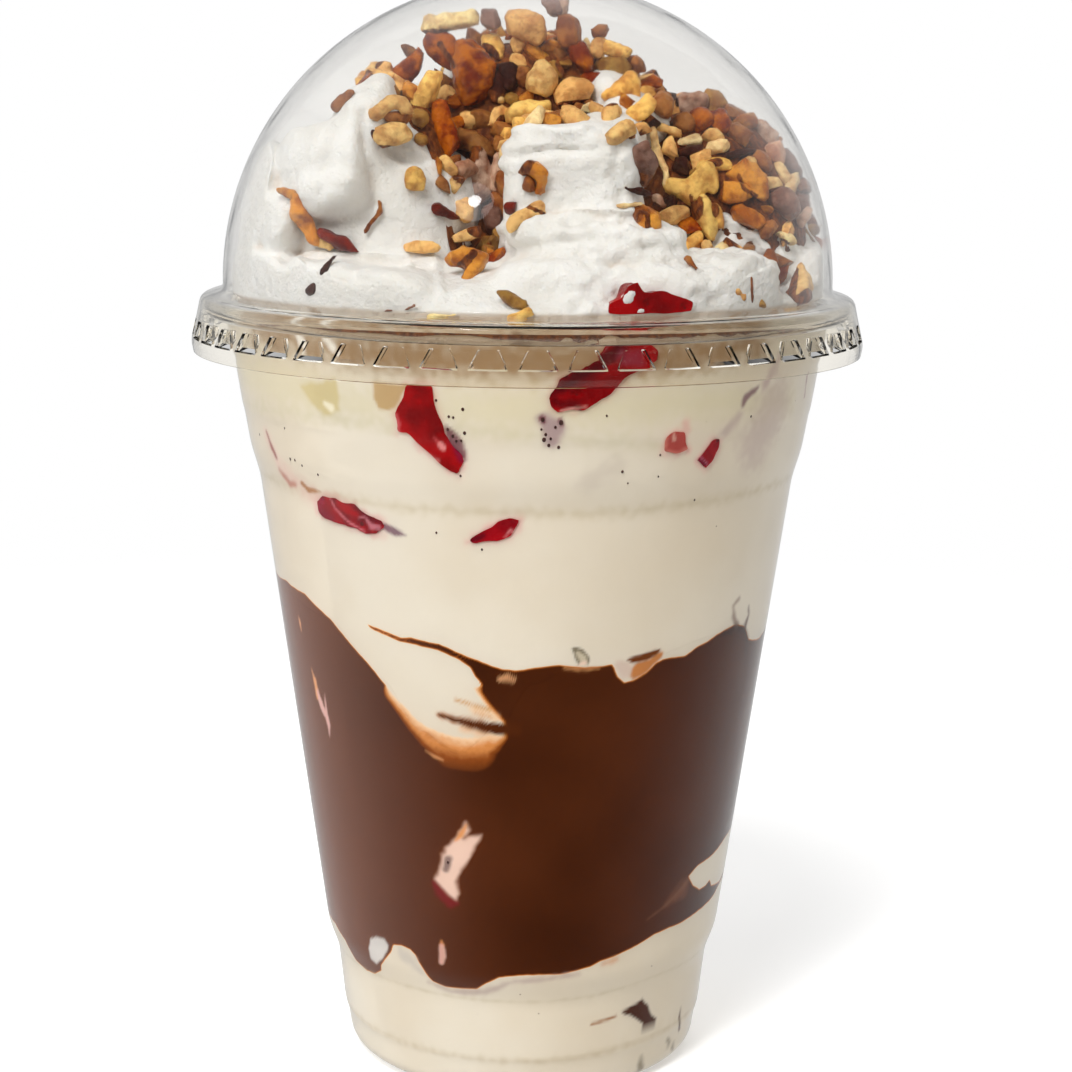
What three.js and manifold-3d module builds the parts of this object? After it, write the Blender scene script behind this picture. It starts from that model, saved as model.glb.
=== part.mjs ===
// Strawberries and cream in a clear plastic cup under a clear dome lid.
// Millimetres, +Z up. The origin is the middle of the base, and the front faces -Y.
// An outline is a list of [radius, height]. A turn is in degrees from the front towards +X.
import * as THREE from 'three';
import { mergeVertices } from 'three/addons/utils/BufferGeometryUtils.js';
import Module from 'manifold-3d';

const wasm = await Module();
wasm.setup();

// Driving dimensions
const GAP = 0.3; // air left between pieces that lie against each other
const CUP_WALL = 0.6;
const LID_WALL = 0.5;
const LUGS = 48; // snap lugs round the lid, one to each facet of the cup and lid
const FIRST_LUG = 1.9; // degrees from the front
const BASE_LIFT = 3.0; // the middle of the base stands clear of the table
const FOOT_INNER = 22.6;
const FOOT_OUTER = 25.2;
const BASE_CORNER = 2.6;
const RIM = { radius: 47.4, height: 117.4, roll: 1.5 };
const CUP_SIDE = [
  [28.3, 6.5],
  [29.5, 16.0],
  [31.07, 20.29],
  [40.96, 92.0],
  [42.29, 96.46],
  [44.75, 110.73],
];
const DOME_RADIUS = 46.14;
const DOME_FOOT = 120.66;
const DOME_RISE = 45.19;
const LID_SKIRT = [
  [49.6, 118.83],
  [50.0, 116.2],
  [51.0, 112.3],
  [50.7, 110.73],
];
const LUG = { lowHalf: 1.9, highHalf: 1.0, tall: 2.0, depth: 0.9, flare: 0.35, skin: 0.22 };
const FILL = 116.2; // level of the cream in the cup
const MOUND_FOOT = 118.0;
const OUTSIDE_ALL = 60.0; // a radius past every wall

// Where the chocolate meets the cream on the wall, as [turn, height]
const CHOCOLATE_TOP = [
  [-180, 72],
  [-120, 74],
  [-76, 76.4],
  [-47, 73.6],
  [-33, 66],
  [-24, 57.6],
  [-16, 53.8],
  [-9, 55],
  [-4, 64],
  [0, 69.6],
  [22, 69.5],
  [47, 71.9],
  [67, 68.4],
  [120, 71],
  [180, 72],
];
const CHOCOLATE_FOOT = [
  [-180, 21],
  [-110, 22],
  [-54, 16.8],
  [-34, 23.7],
  [-20, 18.6],
  [0, 20.9],
  [45, 25.3],
  [74, 28],
  [120, 24],
  [180, 21],
];
const CHOCOLATE_MIDDLE = { top: 66, foot: 22 };

// Whipped cream: rounded puffs over a bank that falls towards the lid
const BANK = { middle: 126.5, fall: 6.0, reach: 45.0 };
const PUFFS = [
  { x: -22, y: -12, top: 149, across: 14.5, deep: 13.5, square: 2.6 },
  { x: 6.5, y: -17, top: 144, across: 11, deep: 9.5, square: 4 },
  { x: 3, y: 4, top: 153, across: 25, deep: 17, square: 2.4 },
  { x: 25, y: 0, top: 143, across: 19, deep: 18, square: 2.4 },
  { x: -12, y: 22, top: 146, across: 19, deep: 17, square: 2.4 },
  { x: 17, y: 24, top: 142, across: 17, deep: 15, square: 2.4 },
];

// Chopped nuts: three patches of the heap, then chips that lie alone on the cream
const NUT_PATCHES = [
  { x: -4, y: -2, across: 25, deep: 17, thick: 6.5 },
  { x: 25, y: -3, across: 20, deep: 17, thick: 6 },
  { x: -7, y: -15, across: 6.5, deep: 9, thick: 5 },
];
const NUT_COUNT = 42;
const NUT_SPACING = 6;
const NUT_SIZE = { length: 3.8, width: 3.0, thick: 2.4, proud: 0.8 }; // half sizes and lift
const LONE_NUTS = [
  { x: -32.4, y: -21, length: 3.4, width: 1.6 },
  { x: -27.2, y: -24.8, length: 3.0, width: 1.8 },
  { x: -29.4, y: -27, length: 2.8, width: 1.0 },
  { x: -21.5, y: -25.2, length: 2.2, width: 0.9 },
  { x: -16.4, y: -23.6, length: 2.0, width: 1.8 },
  { x: -14.9, y: -28, length: 2.8, width: 1.5 },
  { x: -8.7, y: -30, length: 3.4, width: 2.4 },
  { x: -1.5, y: -41.5, length: 2.2, width: 1.8 },
  { x: 23.4, y: -27, length: 1.6, width: 1.0 },
  { x: 30.6, y: -29, length: 2.6, width: 1.4 },
  { x: 38, y: -17, length: 3.8, width: 2.4 },
];

// Strawberry pieces against the wall: half length, half width and half depth, with the
// long side turned by tilt degrees from level
const BERRIES = [
  { name: 'strawberry_left', turn: -17.8, height: 103.8, long: 7.6, wide: 3.4, deep: 5, tilt: -62 },
  { name: 'strawberry_middle', turn: 15, height: 111, long: 7.6, wide: 3.6, deep: 6, tilt: 42 },
  { name: 'strawberry_low_left', turn: -35.5, height: 90.8, long: 8, wide: 1.9, deep: 4, tilt: -11 },
  { name: 'strawberry_low_middle', turn: -6.3, height: 89.8, long: 4.3, wide: 1.5, deep: 3, tilt: 22 },
  { name: 'strawberry_right', turn: 37, height: 100, long: 2.6, wide: 1.2, deep: 2.5, tilt: 50 },
  { name: 'strawberry_pale', turn: 29, height: 102.6, long: 2.2, wide: 1.6, deep: 2.5, tilt: 20 },
];
const BIG_BERRY = 5; // pieces longer than this are rounder
const TOP_BERRY = { name: 'strawberry_top', turn: 22, height: 121.6, long: 6, wide: 2.7, deep: 6, tilt: 6 };

const COLOURS = {
  plastic: 0xeef2f2,
  cream: 0xe6dec8,
  whipped: 0xf2f1ec,
  chocolate: 0x4b230d,
  nut: 0xd9a866,
  strawberry: 0x9c0a14,
};

function arc(centreRadius, centreHeight, radius, from, to, steps) {
  return Array.from({ length: steps + 1 }, (_, i) => {
    const angle = THREE.MathUtils.degToRad(from + ((to - from) * i) / steps);
    return [centreRadius + radius * Math.cos(angle), centreHeight + radius * Math.sin(angle)];
  });
}

// The same outline moved sideways to the left of its direction, as a sheet's other face is
function offset(outline, distance) {
  const shifts = outline.slice(1).map(([r, z], i) => {
    const along = new THREE.Vector2(r - outline[i][0], z - outline[i][1]).normalize();
    return new THREE.Vector2(-along.y, along.x);
  });
  return outline.map(([r, z], i) => {
    const before = shifts[Math.max(i - 1, 0)];
    const after = shifts[Math.min(i, shifts.length - 1)];
    const corner = before.clone().add(after);
    corner.multiplyScalar(distance / corner.dot(after));
    return r === 0 ? [0, z + distance * Math.sign(corner.y * distance)] : [r + corner.x, z + corner.y];
  });
}

// Turns an outline, given from the axis outwards and up, into a faceted round shape
function lathe(outline, facets = LUGS) {
  const points = outline.map(([r, z]) => new THREE.Vector2(r, z));
  const start = THREE.MathUtils.degToRad(FIRST_LUG - 180 / LUGS);
  return new THREE.LatheGeometry(points, facets, start).rotateX(Math.PI / 2);
}

// Boolean solid of a closed geometry
function solid(geometry) {
  const bare = geometry.clone().deleteAttribute('normal').deleteAttribute('uv');
  const merged = mergeVertices(bare);
  const corners = merged.index.array;
  const triangles = [];
  for (let i = 0; i < corners.length; i += 3) {
    const [a, b, c] = corners.slice(i, i + 3);
    if (a !== b && b !== c && c !== a) triangles.push(a, b, c);
  }
  return new wasm.Manifold(
    new wasm.Mesh({
      numProp: 3,
      vertProperties: new Float32Array(merged.attributes.position.array),
      triVerts: new Uint32Array(triangles),
    }),
  );
}

// The largest connected piece, without the scraps that a cut leaves
function largest(body) {
  return body.decompose().reduce((best, part) => (part.volume() > best.volume() ? part : best));
}

function mesh(name, body, colour, options = {}) {
  const { vertProperties, triVerts } = body.getMesh();
  const geometry = new THREE.BufferGeometry();
  geometry.setAttribute('position', new THREE.BufferAttribute(vertProperties, 3));
  geometry.setIndex(new THREE.BufferAttribute(triVerts, 1));
  const material = new THREE.MeshStandardMaterial({ color: colour, roughness: 0.5, metalness: 0, ...options });
  const named = new THREE.Mesh(geometry, material);
  named.name = name;
  return named;
}

function clearMesh(name, body) {
  return mesh(name, body, COLOURS.plastic, { roughness: 0.05, transparent: true, opacity: 0.3 });
}

// Height at a turn on a ring of knots, eased from each knot to the next
function ringHeight(knots, turn) {
  const next = Math.max(knots.findIndex(([knotTurn]) => knotTurn >= turn), 1);
  const [fromTurn, fromHeight] = knots[next - 1];
  const [toTurn, toHeight] = knots[next];
  const share = THREE.MathUtils.smoothstep(turn, fromTurn, toTurn);
  return THREE.MathUtils.lerp(fromHeight, toHeight, share);
}

// A layer's surface: the knots' height at the wall, level in the middle of the cup
function layerSurface(knots, middle, reach) {
  return (x, y) => {
    const turn = THREE.MathUtils.radToDeg(Math.atan2(x, -y));
    const share = THREE.MathUtils.smoothstep(Math.hypot(x, y), 0, reach);
    return THREE.MathUtils.lerp(middle, ringHeight(knots, turn), share);
  };
}

// Everything below a surface, out past the walls
function below(surface, lift, rings, facets = LUGS) {
  const top = [...rings].reverse().map((radius) => [radius, 1]);
  const geometry = lathe([[0, 0], [OUTSIDE_ALL, 0], [OUTSIDE_ALL, 1], ...top, [0, 1]], facets);
  const position = geometry.attributes.position;
  for (let i = 0; i < position.count; i += 1) {
    if (position.getZ(i) > 0.5) {
      position.setZ(i, surface(position.getX(i), position.getY(i)) + lift);
    } else {
      position.setZ(i, -BASE_LIFT);
    }
  }
  return solid(geometry);
}

// Places a geometry on the wall: its x along the wall, y up and z outwards
function ontoWall(geometry, turn, radius, height) {
  const angle = THREE.MathUtils.degToRad(turn);
  const along = new THREE.Vector3(Math.cos(angle), Math.sin(angle), 0);
  const up = new THREE.Vector3(0, 0, 1);
  const out = new THREE.Vector3(Math.sin(angle), -Math.cos(angle), 0);
  const place = new THREE.Matrix4().makeBasis(along, up, out);
  place.setPosition(out.x * radius, out.y * radius, height);
  return geometry.applyMatrix4(place);
}

function radiusAt(outline, height) {
  const next = outline.findIndex(([, z], i) => i > 0 && z >= height);
  const [r0, z0] = outline[next - 1];
  const [r1, z1] = outline[next];
  return THREE.MathUtils.mapLinear(height, z0, z1, r0, r1);
}

const cupOutside = [
  [0, BASE_LIFT],
  [20.6, BASE_LIFT],
  [FOOT_INNER, 0],
  ...arc(FOOT_OUTER, BASE_CORNER, BASE_CORNER, -90, -8, 2),
  ...CUP_SIDE,
];
const rimRoll = arc(RIM.radius, RIM.height, RIM.roll, 200, 530, 5);
const cupSheet = [...cupOutside, rimRoll[0]];
const lidOutside = [
  ...arc(0, 0, 1, 90, 0, 8).map(([r, z]) => [r * DOME_RADIUS, DOME_FOOT + z * DOME_RISE]),
  ...LID_SKIRT,
];
lidOutside[0][0] = 0;
const domeSteps = 9;

function makeCup() {
  return solid(lathe([...cupSheet, ...rimRoll.slice(1), ...offset(cupSheet, CUP_WALL).reverse()]));
}

// A block on the sloped skirt, wide at the bottom, from one depth under its face to another.
// Every section has the same shape, larger towards the outside by the flare.
function lugBlock(turn, inner, outer, grow) {
  const [[highRadius, highest], [lowRadius, lowest]] = LID_SKIRT.slice(1, 3);
  const lean = Math.atan2(lowRadius - highRadius, highest - lowest);
  const geometry = new THREE.BoxGeometry(2, 2, 2);
  const position = geometry.attributes.position;
  for (let i = 0; i < position.count; i += 1) {
    const [side, level, face] = [position.getX(i), position.getY(i), position.getZ(i)];
    const depth = face > 0 ? outer : inner;
    const scale = 1 + grow + LUG.flare * (1 + depth / LUG.depth);
    const half = level < 0 ? LUG.lowHalf : LUG.highHalf;
    position.setXYZ(i, side * half * scale, (level * LUG.tall * scale) / 2, depth);
  }
  const facetRadius = ((highRadius + lowRadius) / 2) * Math.cos(Math.PI / LUGS);
  return solid(ontoWall(geometry.rotateX(-lean), turn, facetRadius, (highest + lowest) / 2));
}

function makeLid() {
  const shell = solid(lathe([...offset(lidOutside, -LID_WALL), ...[...lidOutside].reverse()]));
  const turns = Array.from({ length: LUGS }, (_, i) => FIRST_LUG + (i * 360) / LUGS);
  const pushedIn = turns.map((turn) => lugBlock(turn, -LUG.depth - LID_WALL, -LID_WALL / 2, LUG.skin));
  const hollows = turns.map((turn) => lugBlock(turn, -LUG.depth, LID_WALL, 0));
  return shell.add(wasm.Manifold.union(pushedIn)).subtract(wasm.Manifold.union(hollows));
}

// What the cup holds fits this outline, with the gap to the wall all round
const foodOutside = offset(cupSheet, CUP_WALL + GAP);

function makeFood() {
  const side = foodOutside.filter(([, z]) => z < FILL - 1);
  const top = [radiusAt(foodOutside.slice(5), FILL), FILL];
  return solid(lathe([...side, top, [0, FILL]]));
}

// What fills the dome, from the level of the cream in the cup
function makeDomeRoom() {
  const dome = offset(lidOutside.slice(0, domeSteps), -LID_WALL - GAP).reverse();
  const inRim = RIM.radius - RIM.roll - 2.5 * GAP;
  return solid(lathe([[0, FILL + GAP], [inRim - GAP, FILL + GAP], [inRim, RIM.height + RIM.roll], ...dome]));
}

// A rounded piece of fruit cut flat where it meets the wall
function berryBlock({ turn, height, long, wide, deep, tilt }, outline, grow) {
  const geometry = new THREE.IcosahedronGeometry(1, long > BIG_BERRY ? 1 : 0);
  geometry.scale(long + grow, wide + grow, deep + grow);
  geometry.rotateZ(THREE.MathUtils.degToRad(tilt));
  return solid(ontoWall(geometry, turn, radiusAt(outline, height), height));
}

function creamHeight(x, y) {
  const bank = BANK.middle - BANK.fall * (Math.hypot(x, y) / BANK.reach) ** 4;
  return PUFFS.reduce((highest, puff) => {
    const away = Math.hypot(
      (Math.abs(x - puff.x) / puff.across) ** (puff.square / 2),
      (Math.abs(y - puff.y) / puff.deep) ** (puff.square / 2),
    );
    const top = MOUND_FOOT + (puff.top - MOUND_FOOT) * Math.sqrt(Math.max(0, 1 - away * away));
    return Math.max(highest, top);
  }, bank);
}

function nutThickness(x, y) {
  return NUT_PATCHES.reduce((thickest, patch) => {
    const away = Math.hypot((x - patch.x) / patch.across, (y - patch.y) / patch.deep);
    return Math.max(thickest, patch.thick * (1 - away ** 3));
  }, -1);
}

// One angular chip of nut, its corners moved in and out by the seeded draw
function chip(x, y, z, length, width, thick) {
  const draw = THREE.MathUtils.seededRandom;
  const bare = new THREE.IcosahedronGeometry(1, 0).deleteAttribute('normal').deleteAttribute('uv');
  const geometry = mergeVertices(bare);
  const position = geometry.attributes.position;
  for (let i = 0; i < position.count; i += 1) {
    const out = 0.8 + 0.35 * draw();
    position.setXYZ(i, position.getX(i) * out, position.getY(i) * out, position.getZ(i) * out);
  }
  geometry.scale(length, width, thick);
  geometry.rotateX(draw() * Math.PI).rotateZ(draw() * Math.PI * 2);
  geometry.setAttribute('normal', position.clone());
  geometry.setAttribute('uv', position.clone());
  return solid(geometry.translate(x, y, z));
}

// Chips spread over the heap, none nearer to another than the spacing
function heapChips() {
  const draw = THREE.MathUtils.seededRandom;
  draw(7);
  const spots = [];
  for (let tries = 0; tries < 6000 && spots.length < NUT_COUNT; tries += 1) {
    const x = (draw() * 2 - 1) * BANK.reach;
    const y = (draw() * 2 - 1) * BANK.reach;
    const near = spots.some((spot) => Math.hypot(spot.x - x, spot.y - y) < NUT_SPACING);
    if (!near && nutThickness(x, y) > 1.5) spots.push({ x, y });
  }
  return spots.map(({ x, y }) => {
    const size = 0.75 + 0.5 * draw();
    const z = creamHeight(x, y) + nutThickness(x, y) + NUT_SIZE.proud;
    return chip(x, y, z, NUT_SIZE.length * size, NUT_SIZE.width * size, NUT_SIZE.thick * size);
  });
}

function loneChips(grow) {
  THREE.MathUtils.seededRandom(3);
  return LONE_NUTS.map(({ x, y, length, width }) => {
    const z = creamHeight(x, y);
    return chip(x, y, z, length + grow, width + grow, width + grow);
  });
}

// Layers in the cup
const food = makeFood();
const layerRings = [20];
const layerFacets = LUGS;
const chocolateTop = layerSurface(CHOCOLATE_TOP, CHOCOLATE_MIDDLE.top, 34);
const chocolateFoot = layerSurface(CHOCOLATE_FOOT, CHOCOLATE_MIDDLE.foot, 28);
const underTop = below(chocolateTop, -GAP, layerRings, layerFacets);
const underFoot = below(chocolateFoot, 0, layerRings, layerFacets);
const creamLower = food.intersect(below(chocolateFoot, -GAP, layerRings, layerFacets));
const chocolate = food.intersect(underTop).subtract(underFoot);
const berries = BERRIES.map((berry) => berryBlock(berry, foodOutside, 0).intersect(food));
const pockets = BERRIES.map((berry) => berryBlock(berry, foodOutside, GAP));
const creamUpper = food
  .subtract(below(chocolateTop, GAP, layerRings, layerFacets))
  .subtract(wasm.Manifold.union(pockets));

// Whipped cream, fruit and nuts in the dome
const room = makeDomeRoom();
const roomSide = offset(lidOutside.slice(0, domeSteps), -LID_WALL - GAP).reverse();
const topBerry = berryBlock(TOP_BERRY, roomSide, 0).intersect(room);
const topPocket = berryBlock(TOP_BERRY, roomSide, GAP);
const moundRings = [8, 16, 23, 29, 34, 39, 44];
const moundFacets = 32;
const lone = wasm.Manifold.union(loneChips(0));
const whipped = largest(
  room.intersect(below(creamHeight, 0, moundRings, moundFacets).add(lone)).subtract(topPocket),
);
const heapCore = below((x, y) => creamHeight(x, y) + nutThickness(x, y), 0, moundRings, moundFacets);
const nuts = largest(
  room
    .intersect(heapCore.add(wasm.Manifold.union(heapChips())))
    .subtract(below(creamHeight, GAP, moundRings, moundFacets))
    .subtract(wasm.Manifold.union(loneChips(GAP))),
);

const group = new THREE.Group();
group.name = 'strawberries_and_cream';
group.add(clearMesh('cup', makeCup()));
group.add(clearMesh('dome_lid', makeLid()));
group.add(mesh('cream_lower', creamLower, COLOURS.cream));
group.add(mesh('chocolate', chocolate, COLOURS.chocolate, { roughness: 0.4 }));
group.add(mesh('cream_upper', creamUpper, COLOURS.cream));
BERRIES.forEach(({ name }, i) => {
  group.add(mesh(name, berries[i], COLOURS.strawberry, { roughness: 0.3 }));
});
group.add(mesh(TOP_BERRY.name, topBerry, COLOURS.strawberry, { roughness: 0.3 }));
group.add(mesh('whipped_cream', whipped, COLOURS.whipped, { roughness: 0.6 }));
group.add(mesh('chopped_nuts', nuts, COLOURS.nut, { roughness: 0.6 }));

export default group;
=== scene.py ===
# %% [markdown]
# # Strawberries and cream in a clear cup
# This lesson dresses a plain CAD model of a dessert: a clear cup under a clear dome lid,
# with cream, chocolate, strawberries, whipped cream and chopped nuts. The CAD model gives
# the sizes. Every cell adds one thing and prints what it made. Lengths are in millimetres
# until a piece is finished, because that is how a cup is measured.

# %% Load the frame
import math
import random

import bmesh
import bpy
import numpy as np
from mathutils import Matrix, Vector, noise
from mathutils.bvhtree import BVHTree


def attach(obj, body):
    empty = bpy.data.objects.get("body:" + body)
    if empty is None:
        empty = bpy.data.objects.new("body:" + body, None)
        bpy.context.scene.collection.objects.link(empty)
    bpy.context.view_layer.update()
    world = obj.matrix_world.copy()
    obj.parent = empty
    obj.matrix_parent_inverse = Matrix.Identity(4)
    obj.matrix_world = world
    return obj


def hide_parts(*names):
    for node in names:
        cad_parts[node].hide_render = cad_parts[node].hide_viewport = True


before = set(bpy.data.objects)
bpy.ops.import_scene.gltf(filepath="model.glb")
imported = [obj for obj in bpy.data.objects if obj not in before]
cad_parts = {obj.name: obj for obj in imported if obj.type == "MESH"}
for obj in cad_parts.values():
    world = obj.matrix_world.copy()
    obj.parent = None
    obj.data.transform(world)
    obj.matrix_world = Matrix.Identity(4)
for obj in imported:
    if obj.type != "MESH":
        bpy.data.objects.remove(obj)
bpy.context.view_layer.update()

MM = 0.001

# %% [markdown]
# ## Camera
# The camera comes first, because some nuts are placed along its lines of sight. It stands
# in front of the cup, a little above the cream, looking slightly down. Its place and lens
# were worked out from the outlines of the lid and the cup, so the picture has the same
# perspective as the real view.

# %% Camera
PICTURE = 1072.0  # width of the picture that pixel places refer to
CAMERA_AT = Vector((1.61, -346.96, 147.94))
CAMERA_DOWN = 10.878  # degrees below level
CAMERA_ROLL = 0.544
CAMERA_LENS = 76.09

camera = bpy.data.objects.new("camera", bpy.data.cameras.new("camera"))
bpy.context.collection.objects.link(camera)
camera_turn = Matrix.Rotation(math.radians(90 - CAMERA_DOWN), 3, "X") @ Matrix.Rotation(
    math.radians(CAMERA_ROLL), 3, "Z"
)
camera.location = CAMERA_AT * MM
camera.rotation_euler = camera_turn.to_euler()
camera.data.lens = CAMERA_LENS
camera.data.clip_start = 0.01
bpy.context.scene.camera = camera


def line_of_sight(px, py):
    """Direction from the camera through a place in the picture."""
    half = camera.data.sensor_width / 2 / camera.data.lens
    across = (px / PICTURE * 2 - 1) * half
    up = (1 - py / PICTURE * 2) * half
    return (camera_turn @ Vector((across, up, -1))).normalized()


def on_plane(px, py, y):
    """The point that lies behind a place in the picture, on the upright plane at y."""
    sight = line_of_sight(px, py)
    return CAMERA_AT + sight * ((y - CAMERA_AT.y) / sight.y)


def in_picture(points):
    """Where each point shows in the picture."""
    local = (points - np.array(CAMERA_AT)) @ np.array(camera_turn)
    scale = PICTURE * camera.data.lens / camera.data.sensor_width
    across = PICTURE / 2 - scale * local[:, 0] / local[:, 2]
    down = PICTURE / 2 + scale * local[:, 1] / local[:, 2]
    return np.stack([across, down], 1)


def pixel_size(y):
    """Length that one pixel covers on the upright plane at y."""
    return (y - CAMERA_AT.y) * camera.data.sensor_width / camera.data.lens / PICTURE


print("a pixel at the front of the cup is", round(pixel_size(-45), 3), "mm")

# %% [markdown]
# ## Writing materials as sums
# Node trees are easier to read as arithmetic. `Number` wraps a socket, and each operator
# on it adds the Math node that works it out. `Finish` is a material with one method that
# adds any other node.

# %% Material helpers


def paint(red, green, blue):
    """A colour from 0 to 255 as a screen shows it, turned into the light that Blender uses."""
    levels = [level / 255 for level in (red, green, blue)]
    return (*[c / 12.92 if c <= 0.04045 else ((c + 0.055) / 1.055) ** 2.4 for c in levels], 1)


class Number:
    """A socket of a material that takes part in sums."""

    def __init__(self, finish, socket):
        self.finish, self.socket = finish, socket

    def __add__(self, other):
        return self.finish.sum("ADD", self, other)

    def __sub__(self, other):
        return self.finish.sum("SUBTRACT", self, other)

    def __rsub__(self, other):
        return self.finish.sum("SUBTRACT", other, self)

    def __mul__(self, other):
        return self.finish.sum("MULTIPLY", self, other)

    __radd__ = __add__
    __rmul__ = __mul__


class Finish:
    """A material built around one Principled BSDF."""

    def __init__(self, name, **constants):
        self.material = bpy.data.materials.new(name)
        self.material.use_nodes = True
        self.nodes = self.material.node_tree.nodes
        self.shader = self.nodes["Principled BSDF"]
        for socket, value in constants.items():
            self.feed(self.shader.inputs[socket.replace("_", " ")], value)

    def feed(self, socket, value):
        """Links a number to a socket, or writes a plain value into it."""
        if isinstance(value, Number):
            self.material.node_tree.links.new(value.socket, socket)
        else:
            socket.default_value = value

    def add(self, kind, settings, inputs, output=0):
        """Adds a node, sets it up, feeds its sockets and returns one output."""
        node = self.nodes.new(kind)
        for name, value in settings.items():
            setattr(node, name, value)
        for key, value in inputs.items():
            self.feed(node.inputs[key], value)
        return Number(self, node.outputs[output])

    def sum(self, operation, *values):
        """One Math node."""
        return self.add("ShaderNodeMath", {"operation": operation}, dict(enumerate(values)))

    def place(self):
        """The point on the piece, in metres."""
        return self.add("ShaderNodeTexCoord", {}, {}, "Object")

    def grain(self, size, detail=2.0, stretch=(1, 1, 1), roughness=0.5):
        """Cloudy noise whose lumps are about size millimetres across, from 0 to 1."""
        scale = [s / (size * MM) for s in stretch]
        at = self.add("ShaderNodeMapping", {}, {"Vector": self.place(), "Scale": scale})
        inputs = {"Vector": at, "Scale": 1.0, "Detail": detail, "Roughness": roughness}
        return self.add("ShaderNodeTexNoise", {}, inputs)

    def cells(self, size, feature="F1"):
        """Distance to scattered points about size millimetres apart."""
        inputs = {"Vector": self.place(), "Scale": 1 / (size * MM)}
        return self.add("ShaderNodeTexVoronoi", {"feature": feature}, inputs)

    def stored(self, name, output="Fac"):
        """A value kept on the piece's own vertices."""
        return self.add("ShaderNodeAttribute", {"attribute_name": name}, {}, output)

    def step(self, value, low, high, start=0.0, end=1.0):
        """Rises smoothly from start to end while the value goes from low to high."""
        inputs = {"Value": value, "From Min": low, "From Max": high, "To Min": start, "To Max": end}
        return self.add("ShaderNodeMapRange", {"interpolation_type": "SMOOTHSTEP"}, inputs)

    def blend(self, share, first, second, how="MIX"):
        """Mixes two colours. In a Mix node the colour sockets are numbers 6 and 7."""
        settings = {"data_type": "RGBA", "blend_type": how}
        return self.add("ShaderNodeMix", settings, {0: share, 6: first, 7: second}, 2)

    def colour(self, value):
        """Sets the base colour, from 0 to 1 in linear light."""
        self.feed(self.shader.inputs["Base Color"], value)

    def roughness(self, value):
        """Sets how rough the surface is."""
        self.feed(self.shader.inputs["Roughness"], value)

    def relief(self, height, depth, strength=1.0):
        """Lets a height pattern tilt the surface, depth millimetres from 0 to 1."""
        inputs = {"Height": height, "Distance": depth * MM, "Strength": strength}
        self.feed(self.shader.inputs["Normal"], self.add("ShaderNodeBump", {}, inputs))


print("material helpers ready")

# %% [markdown]
# ## From an outline to a round piece
# A cup, a lid and the layers between them are round, so each starts as an outline of
# radius and height that is spun round the upright axis. Sharp bends in pressed plastic are
# never sharp, so `rounded` puts a small curve in each one. `sideways` gives the outline of
# the inner face of a wall.

# %% Shape helpers
SLICES = 12  # a full turn is made of this many equal slices
SAME_PLACE = 0.001  # vertices closer than this are merged


def rounded(outline, reach, steps=4):
    """Replaces each bend of an outline by a curve that starts reach millimetres before it."""
    made = [outline[0]]
    for before, bend, after in zip(outline, outline[1:], outline[2:]):
        before, bend, after = Vector(before), Vector(bend), Vector(after)
        start = bend + (before - bend).normalized() * min(reach, (before - bend).length * 0.45)
        end = bend + (after - bend).normalized() * min(reach, (after - bend).length * 0.45)
        for i in range(steps + 1):
            t = i / steps
            made.append(tuple(start.lerp(bend, t).lerp(bend.lerp(end, t), t)))
    return made + [outline[-1]]


def sideways(outline, distance):
    """The same outline moved to the left of its direction."""
    points = [Vector(p) for p in outline]
    sides = [(b - a).normalized() for a, b in zip(points, points[1:])]
    sides = [Vector((-s.y, s.x)) for s in sides]
    made = []
    for i, point in enumerate(points):
        first, second = sides[max(i - 1, 0)], sides[min(i, len(sides) - 1)]
        corner = (first + second).normalized()
        shift = corner * (distance / max(corner.dot(second), 0.5))
        made.append((0.0, point.y + shift.y) if point.x == 0 else tuple(point + shift))
    return made


def arc(radius, height, size, start, end, steps):
    """Part of a circle round (radius, height), from one angle to another in degrees."""
    angles = [math.radians(start + (end - start) * i / steps) for i in range(steps + 1)]
    return [(radius + size * math.cos(a), height + size * math.sin(a)) for a in angles]


def spun(outline, steps):
    """Spins an outline through one slice of the circle, then repeats the slice all round."""
    bm = bmesh.new()
    corners = [bm.verts.new((0, -radius, height)) for radius, height in outline]
    edges = [bm.edges.new(pair) for pair in zip(corners, corners[1:])]
    bmesh.ops.spin(
        bm,
        geom=corners + edges,
        cent=(0, 0, 0),
        axis=(0, 0, 1),
        angle=math.tau / SLICES,
        steps=steps // SLICES,
    )
    one_slice = bpy.data.meshes.new("slice")
    bm.to_mesh(one_slice)
    for _ in range(SLICES - 1):
        one_slice.transform(Matrix.Rotation(math.tau / SLICES, 4, "Z"))
        bm.from_mesh(one_slice)
    bpy.data.meshes.remove(one_slice)
    bmesh.ops.remove_doubles(bm, verts=bm.verts[:], dist=SAME_PLACE)
    bmesh.ops.recalc_face_normals(bm, faces=bm.faces[:])
    return bm


def places(mesh_or_bm):
    """Vertex places as rows of x, y and z."""
    source = mesh_or_bm.verts if hasattr(mesh_or_bm, "verts") else mesh_or_bm.vertices
    return np.array([v.co for v in source], float).reshape(-1, 3)


def move_to(bm, points):
    """Puts the vertices of a bmesh at new places."""
    for vertex, point in zip(bm.verts, points):
        vertex.co = point


def turn_of(points):
    """Degrees from the front, towards +X, of each point."""
    return np.degrees(np.arctan2(points[:, 0], -points[:, 1]))


def keep(mesh, name, values):
    """Stores one number for each vertex, for the material to read."""
    layer = mesh.attributes.new(name, "FLOAT", "POINT")
    layer.data.foreach_set("value", np.asarray(values, np.float32))


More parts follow.
